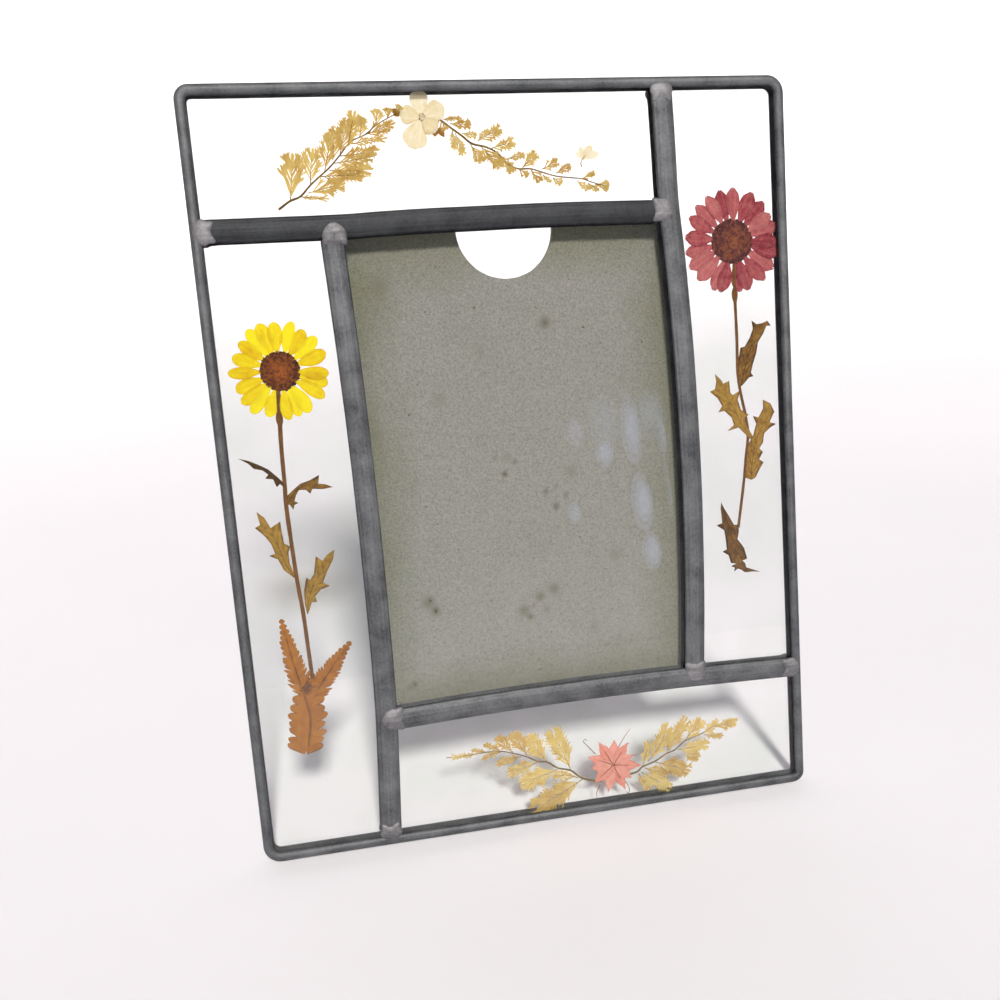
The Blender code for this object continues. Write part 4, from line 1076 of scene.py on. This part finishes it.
# Petals of the small flowers: angle in degrees, length, half width, shade.
CREAM_PETALS = [(92, 7.0, 2.3, 0.1), (24, 6.6, 2.5, 0.2), (-42, 5.0, 2.2, 0.3),
                (-112, 7.9, 3.1, 0.15), (166, 5.4, 2.4, 0.3)]
PINK_PETALS = [(118, 8.2, 1.7, 0.3), (84, 7.4, 1.6, 0.2), (52, 7.6, 1.6, 0.3), (20, 6.4, 1.7, 0.2),
               (-10, 8.4, 1.6, 0.35), (-42, 7.0, 1.7, 0.25), (-68, 8.6, 1.5, 0.4),
               (-104, 8.2, 1.6, 0.2), (-142, 7.4, 1.8, 0.35), (180, 6.6, 1.8, 0.2),
               (155, 8.0, 1.7, 0.3)]
TENDRILS = [[(15.2, 16.4), (14, 17.8), (12.8, 19.4), (12, 20.4), (12.4, 21.1), (13.1, 20.6)],
            [(21.8, 17), (23.6, 19.8), (25.8, 22.4)], [(22.8, 16), (24.2, 17.8), (25.4, 18.2)],
            [(16, 7), (14.9, 5), (14.8, 3.2)], [(23.4, 7), (24.4, 5), (24.2, 3.4), (23.4, 4)],
            [(24.6, 14.2), (26.4, 14.3), (27.4, 14.6)]]


def open_flower(centre, petals, swell, notch, seed, rows=20, cols=16):
    """Petals of given angle, length, width and shade round a centre, each at its own depth."""
    angle, length, half, shade = np.array(petals, float).T
    draw = np.random.default_rng(seed)
    depth = np.linspace(-0.12, 0.14, len(petals))[draw.permutation(len(petals))]
    base = np.repeat([centre], len(petals), 0)
    return blades(base, np.radians(angle), length, half, depth, shade, swell, rows=rows, cols=cols,
                  notch=notch, thick=0.025)


def make_small_flowers(settings):
    """A cream flower and a pale floret at the top, and a pink flower with tendrils below."""
    cream = pressed_plant("pressed_cream_petal", tuple(settings.cream), linear("#e8d8b0"),
                          linear("#a9782a"), veins=(0.0, 2.0), through=0.4, rim=0.2)
    pink = pressed_plant("pressed_pink_petal", tuple(settings.pink), linear("#e08c78"),
                         linear("#8f3c20"), veins=(0.0, 2.0), through=0.35, rim=0.25)
    centre = centre_and_reach("top_cream_flower")[0]
    eye = disc_florets(centre + np.array([0.3, 0.2]), 0.9, 16, 53)
    bracts = blades([(-23.9, 188.6), (-23.6, 188.4), (-23.8, 188.9), (-14.7, 185.2), (-15.6, 185.0)],
                    np.radians([150, 95, 200, -60, -95]), [2.6, 2.4, 1.8, 2.6, 1.9],
                    [0.8, 0.7, 0.6, 0.8, 0.9], 0.16, 0.95, lobe_swell, rows=10, cols=8)
    threads = [stalk([(-22.6, 187.6), (-23.8, 188.6), (-25, 189.6)], 0.15, 0.1, 0.18, 1.0),
               stalk([(-14.4, 187.2), (-15, 185.4), (-15.4, 183.6)], 0.16, 0.1, 0.18, 1.0)]
    petals = open_flower(centre, CREAM_PETALS, petal_swell, 0.05, 54)
    build("cream_flower_petals", [petals, bracts, *threads, *eye], cream,
          ["top_cream_flower"])
    centre = centre_and_reach("top_floret")[0]
    bits = blades(np.repeat([centre - np.array([2.4, 1.6])], 4, 0), np.radians([20, 52, 95, 130]),
                  [4.6, 4.2, 3.2, 2.6], [0.9, 1.1, 0.7, 0.5], [0.0, 0.05, 0.1, -0.05],
                  [0.05, 0.2, 0.1, 0.0], petal_swell, rows=12, cols=8)
    thread = stalk([centre - np.array([2.7, 3.4]), centre - np.array([2.8, 2.2]),
                    centre - np.array([1.6, 0.6])], 0.14, 0.08, -0.08, 0.9)
    build("pale_floret", [bits, thread], cream, ["top_floret"])
    centre = centre_and_reach("bottom_pink_flower")[0]
    petals = open_flower(centre, PINK_PETALS, lobe_swell, 0.12, 57)
    curls = [stalk(line, 0.13, 0.06, 0.16, 0.8, cols=6) for line in TENDRILS]
    ribs = [stalk([centre, centre + np.array([math.cos(a), math.sin(a)]) * 4.6], 0.14, 0.05, -0.17,
                  0.85, count=10, cols=6) for a in np.radians(np.array(PINK_PETALS)[::2, 0])]
    eye = disc_florets(centre, 0.7, 12, 58)
    build("pink_flower_petals", [petals, *curls, *ribs, *eye], pink,
          ["bottom_pink_flower"])


# Stage, in metres

FLOOR_FRONT, FLOOR_BEND, BEND_RADIUS, WALL_TOP, FLOOR_HALF = -3.0, 1.4, 0.9, 2.4, 9.0
CAMERA_PLACE, CAMERA_SHIFT = (-0.0483, -0.2538, 0.187), (-0.0357, 0.0386)
CAMERA_TURN, CAMERA_TILT, CAMERA_ROLL = -11.77, -23.78, -1.03
KEY_PLACE, BACK_PLACE = (0.09, -2.17, 2.1), (0.0, 1.3, 1.2)


def make_floor(settings):
    """A pale floor that curves up behind: z = 0, then a quarter circle, then a wall."""
    turn = np.linspace(0, math.pi / 2, 24)
    y = [FLOOR_FRONT, *(FLOOR_BEND + BEND_RADIUS * np.sin(turn)), FLOOR_BEND + BEND_RADIUS]
    z = [0.0, *(BEND_RADIUS - BEND_RADIUS * np.cos(turn)), WALL_TOP]
    points = np.concatenate([together(x, y, z) for x in (-FLOOR_HALF, FLOOR_HALF)])
    count = len(y)
    faces = [(i, i + count, i + count + 1, i + 1) for i in range(count - 1)]
    mesh = bpy.data.meshes.new("pale_floor")
    mesh.from_pydata(points.tolist(), [], faces)
    mesh.shade_smooth()
    material, tree, shader = new_material("pale_studio_paper")
    place = add(tree, "TexCoord").outputs["Object"]
    cloud = add(tree, "TexNoise", {"Vector": place, "Scale": 3.0, "Detail": 3.0}).outputs[0]
    pale = tuple(settings.floor)
    shaded = tuple(0.97 * c for c in pale[:3]) + (1.0,)
    colour = add(tree, "ValToRGB", {0: cloud}, stops=[(0.4, shaded), (0.6, pale)]).outputs[0]
    fill(tree, shader, {"Base Color": colour, "Roughness": 0.95, "Specular IOR Level": 0.1})
    mesh.materials.append(material)
    floor = bpy.data.objects.new("pale_floor", mesh)
    bpy.context.scene.collection.objects.link(floor)


def make_lamp(name, kind, place, aim, power, colour, **settings):
    """A lamp at a place that shines towards its aim."""
    data = bpy.data.lights.new(name, kind)
    for key, value in settings.items():
        setattr(data, key, value)
    data.energy = power
    data.color = colour[:3]
    lamp = bpy.data.objects.new(name, data)
    bpy.context.scene.collection.objects.link(lamp)
    away = np.array(aim) - np.array(place)
    flat = math.hypot(away[0], away[1])
    lamp.matrix_world = (Matrix.Translation(place)
                         @ Matrix.Rotation(math.atan2(-away[0], away[1]), 4, "Z")
                         @ Matrix.Rotation(math.atan2(away[2], flat) + math.pi / 2, 4, "X"))
    return lamp


def make_world(settings):
    """A quiet room: as pale as the floor at its horizon and dim above, to leave glass clear."""
    world = bpy.data.worlds.new("soft_room")
    world.use_nodes = True
    tree = world.node_tree
    place = add(tree, "TexCoord").outputs["Generated"]
    height = add(tree, "SeparateXYZ", {0: place}).outputs[2]
    stops = [(0.0, linear("#d2d1d6")), (0.1, linear("#96969b")), (0.4, linear("#4a4b4f")),
             (1.0, linear("#5c5d62"))]
    colour = add(tree, "ValToRGB", {0: height}, stops=stops).outputs[0]
    fill(tree, tree.nodes["Background"], {"Color": colour, "Strength": settings.room})
    bpy.context.scene.world = world


def make_camera(settings):
    """A camera a little to the left and above, which looks down at the frame."""
    data = bpy.data.cameras.new("view_from_left")
    data.lens = settings.lens
    data.sensor_width = 36.0
    data.clip_start, data.clip_end = 0.01, 20.0
    data.shift_x, data.shift_y = CAMERA_SHIFT
    camera = bpy.data.objects.new("view_from_left", data)
    bpy.context.scene.collection.objects.link(camera)
    camera.matrix_world = (Matrix.Translation(CAMERA_PLACE)
                           @ Matrix.Rotation(math.radians(CAMERA_TURN), 4, "Z")
                           @ Matrix.Rotation(math.radians(90 + CAMERA_TILT), 4, "X")
                           @ Matrix.Rotation(math.radians(CAMERA_ROLL), 4, "Z"))
    bpy.context.scene.camera = camera


# Window light in the panes: place across and up, width, height and brightness, in metres.
WINDOW = [(0.300, 0.344, 0.019, 0.029, 0.4), (0.345, 0.356, 0.030, 0.053, 0.3),
          (0.340, 0.308, 0.019, 0.026, 0.8), (0.385, 0.340, 0.020, 0.068, 0.8),
          (0.419, 0.362, 0.031, 0.051, 0.5), (0.431, 0.326, 0.009, 0.045, 0.6),
          (0.388, 0.233, 0.021, 0.058, 1.0), (0.393, 0.159, 0.019, 0.038, 1.0),
          (0.284, 0.225, 0.013, 0.023, 0.6), (0.430, 0.244, 0.006, 0.065, 0.5)]


def leave_glass_out(lamp):
    """Keeps the lamp's mirror image out of the panes. It still shines through them."""
    panes = bpy.data.collections.new("panes_without_mirror_image")
    for name, node in frame["nodes"].items():
        if "_glass" in name:
            panes.objects.link(node)
    lamp.light_linking.receiver_collection = panes
    for item in panes.collection_objects:
        item.light_linking.link_state = "EXCLUDE"


def make_stage(settings):
    """Floor, room, an even key light from the front, a softbox over the floor behind, and a
    window far off, each of its patches three ellipses of light that fade outwards."""
    make_floor(settings)
    make_world(settings)
    warm, cool = linear("#fffaf2"), linear("#b8c8ff")
    key = make_lamp("key_light", "SUN", KEY_PLACE, (0.0, 0.0, 0.08), settings.key, warm,
                    angle=math.radians(8.0))
    leave_glass_out(key)
    make_lamp("back_softbox", "AREA", BACK_PLACE, (0.0, 1.31, 0.0), settings.back, warm,
              shape="RECTANGLE", size=3.2, size_y=1.5, spread=math.radians(48.0))
    for x, z, width, tall, share in WINDOW:
        for part in (1.5, 1.05, 0.65):
            power = settings.window * share * width * tall * part**2 / 3
            make_lamp("window_light", "AREA", (x, -1.15 - 0.01 * part, z), (x - 0.33, 0.0, 0.1),
                      power, cool, shape="ELLIPSE", size=width * part, size_y=tall * part)
    scene = bpy.context.scene
    scene.view_settings.view_transform = "Standard"
    scene.cycles.transparent_max_bounces = 24
    make_camera(settings)


# Settings that a user would change

def colour_setting(name, description, code):
    """A colour property with an sRGB hex default."""
    return FloatVectorProperty(name=name, description=description, subtype="COLOR", size=4,
                               min=0.0, max=1.0, default=linear(code))


class LeadSettings(bpy.types.PropertyGroup):
    """Lead came and solder."""

    dark: colour_setting("Lead, dark", "Tarnish in the drawn lines", "#3c3e42")
    light: colour_setting("Lead, light", "Lead where it has been rubbed", "#696b6f")
    # Painted dark reflection: the lead colour of the bar along the top.
    painted_dark_top: colour_setting("Lead, painted dark top", "Painted dark reflection on the bar along the top", "#242529")
    solder_dark: colour_setting("Solder, dark", "Tarnish on the joints", "#4f4e52")
    solder_light: colour_setting("Solder, light", "Clean solder", "#868589")


class GlassSettings(bpy.types.PropertyGroup):
    """Panes."""

    tint: colour_setting("Tint", "What the glass takes from the light", "#f8fbf8")
    smudge: FloatProperty(name="Smudge", description="Roughness where the glass is smudged",
                          subtype="FACTOR", min=0.0, max=0.3, default=0.03)


class BoardSettings(bpy.types.PropertyGroup):
    """Backing board."""

    plain: colour_setting("Board", "Fibre board in the middle", "#878682")
    olive: colour_setting("Olive edge", "Fibre board near its edges", "#6c6c54")
    # The stain colour also paints the shade in the board's dents.
    stain: colour_setting("Stain", "Rust specks, stains and painted dent shade", "#4c4527")


class SteelSettings(bpy.types.PropertyGroup):
    """Rails, strap, tubes and wire."""

    bright: colour_setting("Bright", "Tin plate where it is clean", "#b9b9b6")
    dull: colour_setting("Dull", "Tin plate where it has gone grey", "#77777a")


class PlantSettings(bpy.types.PropertyGroup):
    """Pressed plants."""

    yellow: colour_setting("Yellow petal", "Ray petals of the left flower", "#f8ee28")
    red: colour_setting("Red petal", "Ray petals of the right flower", "#ac4a55")
    leaf: colour_setting("Leaf", "Dried toothed leaves", "#c09c46")
    fern: colour_setting("Fern", "Gold fern sprigs", "#eedb90")
    rust: colour_setting("Rust fern", "Fern tips on the left", "#ad701c")
    cream: colour_setting("Cream petal", "Small flower at the top", "#f8f2e2")
    pink: colour_setting("Pink petal", "Small flower at the bottom", "#f6bdae")
    yellow_rays: IntProperty(name="Yellow rays", description="Ray petals of the yellow flower",
                             min=8, max=40, default=20)
    red_rays: IntProperty(name="Red rays", description="Ray petals of the red flower",
                          min=8, max=40, default=21)


class StageSettings(bpy.types.PropertyGroup):
    """Floor, lamps and camera."""

    floor: colour_setting("Floor", "Studio paper", "#f4f3f9")
    key: FloatProperty(name="Key", description="Strength of the front light", min=0.0,
                       default=3.5)
    back: FloatProperty(name="Back", description="Power of the lamp over the floor behind",
                        min=0.0, default=6.5, unit="POWER")
    window: FloatProperty(name="Window", description="Power of window light for a square metre",
                          min=0.0, default=5.5, unit="POWER")
    room: FloatProperty(name="Room", description="Strength of the light all round", min=0.0,
                        default=1.0)
    lens: FloatProperty(name="Lens", description="Focal length in millimetres", min=10.0,
                        max=200.0, default=36.36)


class FrameSettings(bpy.types.PropertyGroup):
    """Everything about the frame's looks."""

    lead: PointerProperty(type=LeadSettings, name="Lead", description="Came and solder")
    glass: PointerProperty(type=GlassSettings, name="Glass", description="Panes")
    board: PointerProperty(type=BoardSettings, name="Board", description="Backing board")
    steel: PointerProperty(type=SteelSettings, name="Steel", description="Metal at the back")
    plants: PointerProperty(type=PlantSettings, name="Plants", description="Pressed plants")
    stage: PointerProperty(type=StageSettings, name="Stage", description="Floor and light")


# Operators, one for each group of pieces

class MakeCames(bpy.types.Operator):
    """Make the border came and the four bars"""

    bl_idname = "pressed_frame.make_cames"
    bl_label = "Lead cames"

    def execute(self, context):
        make_cames(context.scene.pressed_frame.lead)
        return {"FINISHED"}


class MakeSolder(bpy.types.Operator):
    """Make the solder on the joints, front and back"""

    bl_idname = "pressed_frame.make_solder"
    bl_label = "Solder joints"

    def execute(self, context):
        make_solder(context.scene.pressed_frame.lead)
        return {"FINISHED"}


class MakeGlass(bpy.types.Operator):
    """Give the panes their glass"""

    bl_idname = "pressed_frame.make_glass"
    bl_label = "Glass"

    def execute(self, context):
        make_glass(context.scene.pressed_frame.glass)
        return {"FINISHED"}


class MakeBoard(bpy.types.Operator):
    """Make the backing board"""

    bl_idname = "pressed_frame.make_board"
    bl_label = "Backing board"

    def execute(self, context):
        make_board(context.scene.pressed_frame.board)
        return {"FINISHED"}


class MakeSteel(bpy.types.Operator):
    """Make the rails, the strap and the hinge tubes"""

    bl_idname = "pressed_frame.make_steel"
    bl_label = "Rails and strap"

    def execute(self, context):
        make_steel(context.scene.pressed_frame.steel)
        return {"FINISHED"}


class MakeStand(bpy.types.Operator):
    """Make the wire stand"""

    bl_idname = "pressed_frame.make_stand"
    bl_label = "Wire stand"

    def execute(self, context):
        make_stand(context.scene.pressed_frame.steel)
        return {"FINISHED"}


class MakeTallFlowers(bpy.types.Operator):
    """Make the yellow and the red flower with their stems and leaves"""

    bl_idname = "pressed_frame.make_tall_flowers"
    bl_label = "Tall flowers"

    def execute(self, context):
        make_tall_flowers(context.scene.pressed_frame.plants)
        return {"FINISHED"}


class MakeFerns(bpy.types.Operator):
    """Make the gold fern sprigs and the rust fern tips"""

    bl_idname = "pressed_frame.make_ferns"
    bl_label = "Ferns"

    def execute(self, context):
        make_ferns(context.scene.pressed_frame.plants)
        make_rust_fern(context.scene.pressed_frame.plants)
        return {"FINISHED"}


class MakeSmallFlowers(bpy.types.Operator):
    """Make the cream and pink flowers and the pale floret"""

    bl_idname = "pressed_frame.make_small_flowers"
    bl_label = "Small flowers"

    def execute(self, context):
        make_small_flowers(context.scene.pressed_frame.plants)
        return {"FINISHED"}


class MakeStage(bpy.types.Operator):
    """Make the floor, the lamps and the camera"""

    bl_idname = "pressed_frame.make_stage"
    bl_label = "Stage"

    def execute(self, context):
        make_stage(context.scene.pressed_frame.stage)
        return {"FINISHED"}


STEPS = (MakeCames, MakeSolder, MakeGlass, MakeBoard, MakeSteel, MakeStand, MakeTallFlowers,
         MakeFerns, MakeSmallFlowers, MakeStage)
GROUPS = (LeadSettings, GlassSettings, BoardSettings, SteelSettings, PlantSettings, StageSettings,
          FrameSettings)


class PressedFramePanel(bpy.types.Panel):
    """Lists the steps that make the frame, then its settings"""

    bl_idname = "VIEW3D_PT_pressed_frame"
    bl_label = "Pressed flower frame"
    bl_space_type = "VIEW_3D"
    bl_region_type = "UI"
    bl_category = "Pressed Flowers"

    def draw(self, context):
        layout = self.layout
        for step in STEPS:
            layout.operator(step.bl_idname)
        settings = context.scene.pressed_frame
        for group in FrameSettings.__annotations__:
            box = layout.box()
            box.label(text=group.capitalize())
            part = getattr(settings, group)
            for name in type(part).__annotations__:
                box.prop(part, name)


def register():
    for item in (*GROUPS, *STEPS, PressedFramePanel):
        bpy.utils.register_class(item)
    bpy.types.Scene.pressed_frame = PointerProperty(type=FrameSettings)


def unregister():
    del bpy.types.Scene.pressed_frame
    for item in reversed((*GROUPS, *STEPS, PressedFramePanel)):
        bpy.utils.unregister_class(item)


def main():
    register()
    for step in STEPS:
        family, name = step.bl_idname.split(".")
        getattr(getattr(bpy.ops, family), name)()


if __name__ == "__main__":
    main()
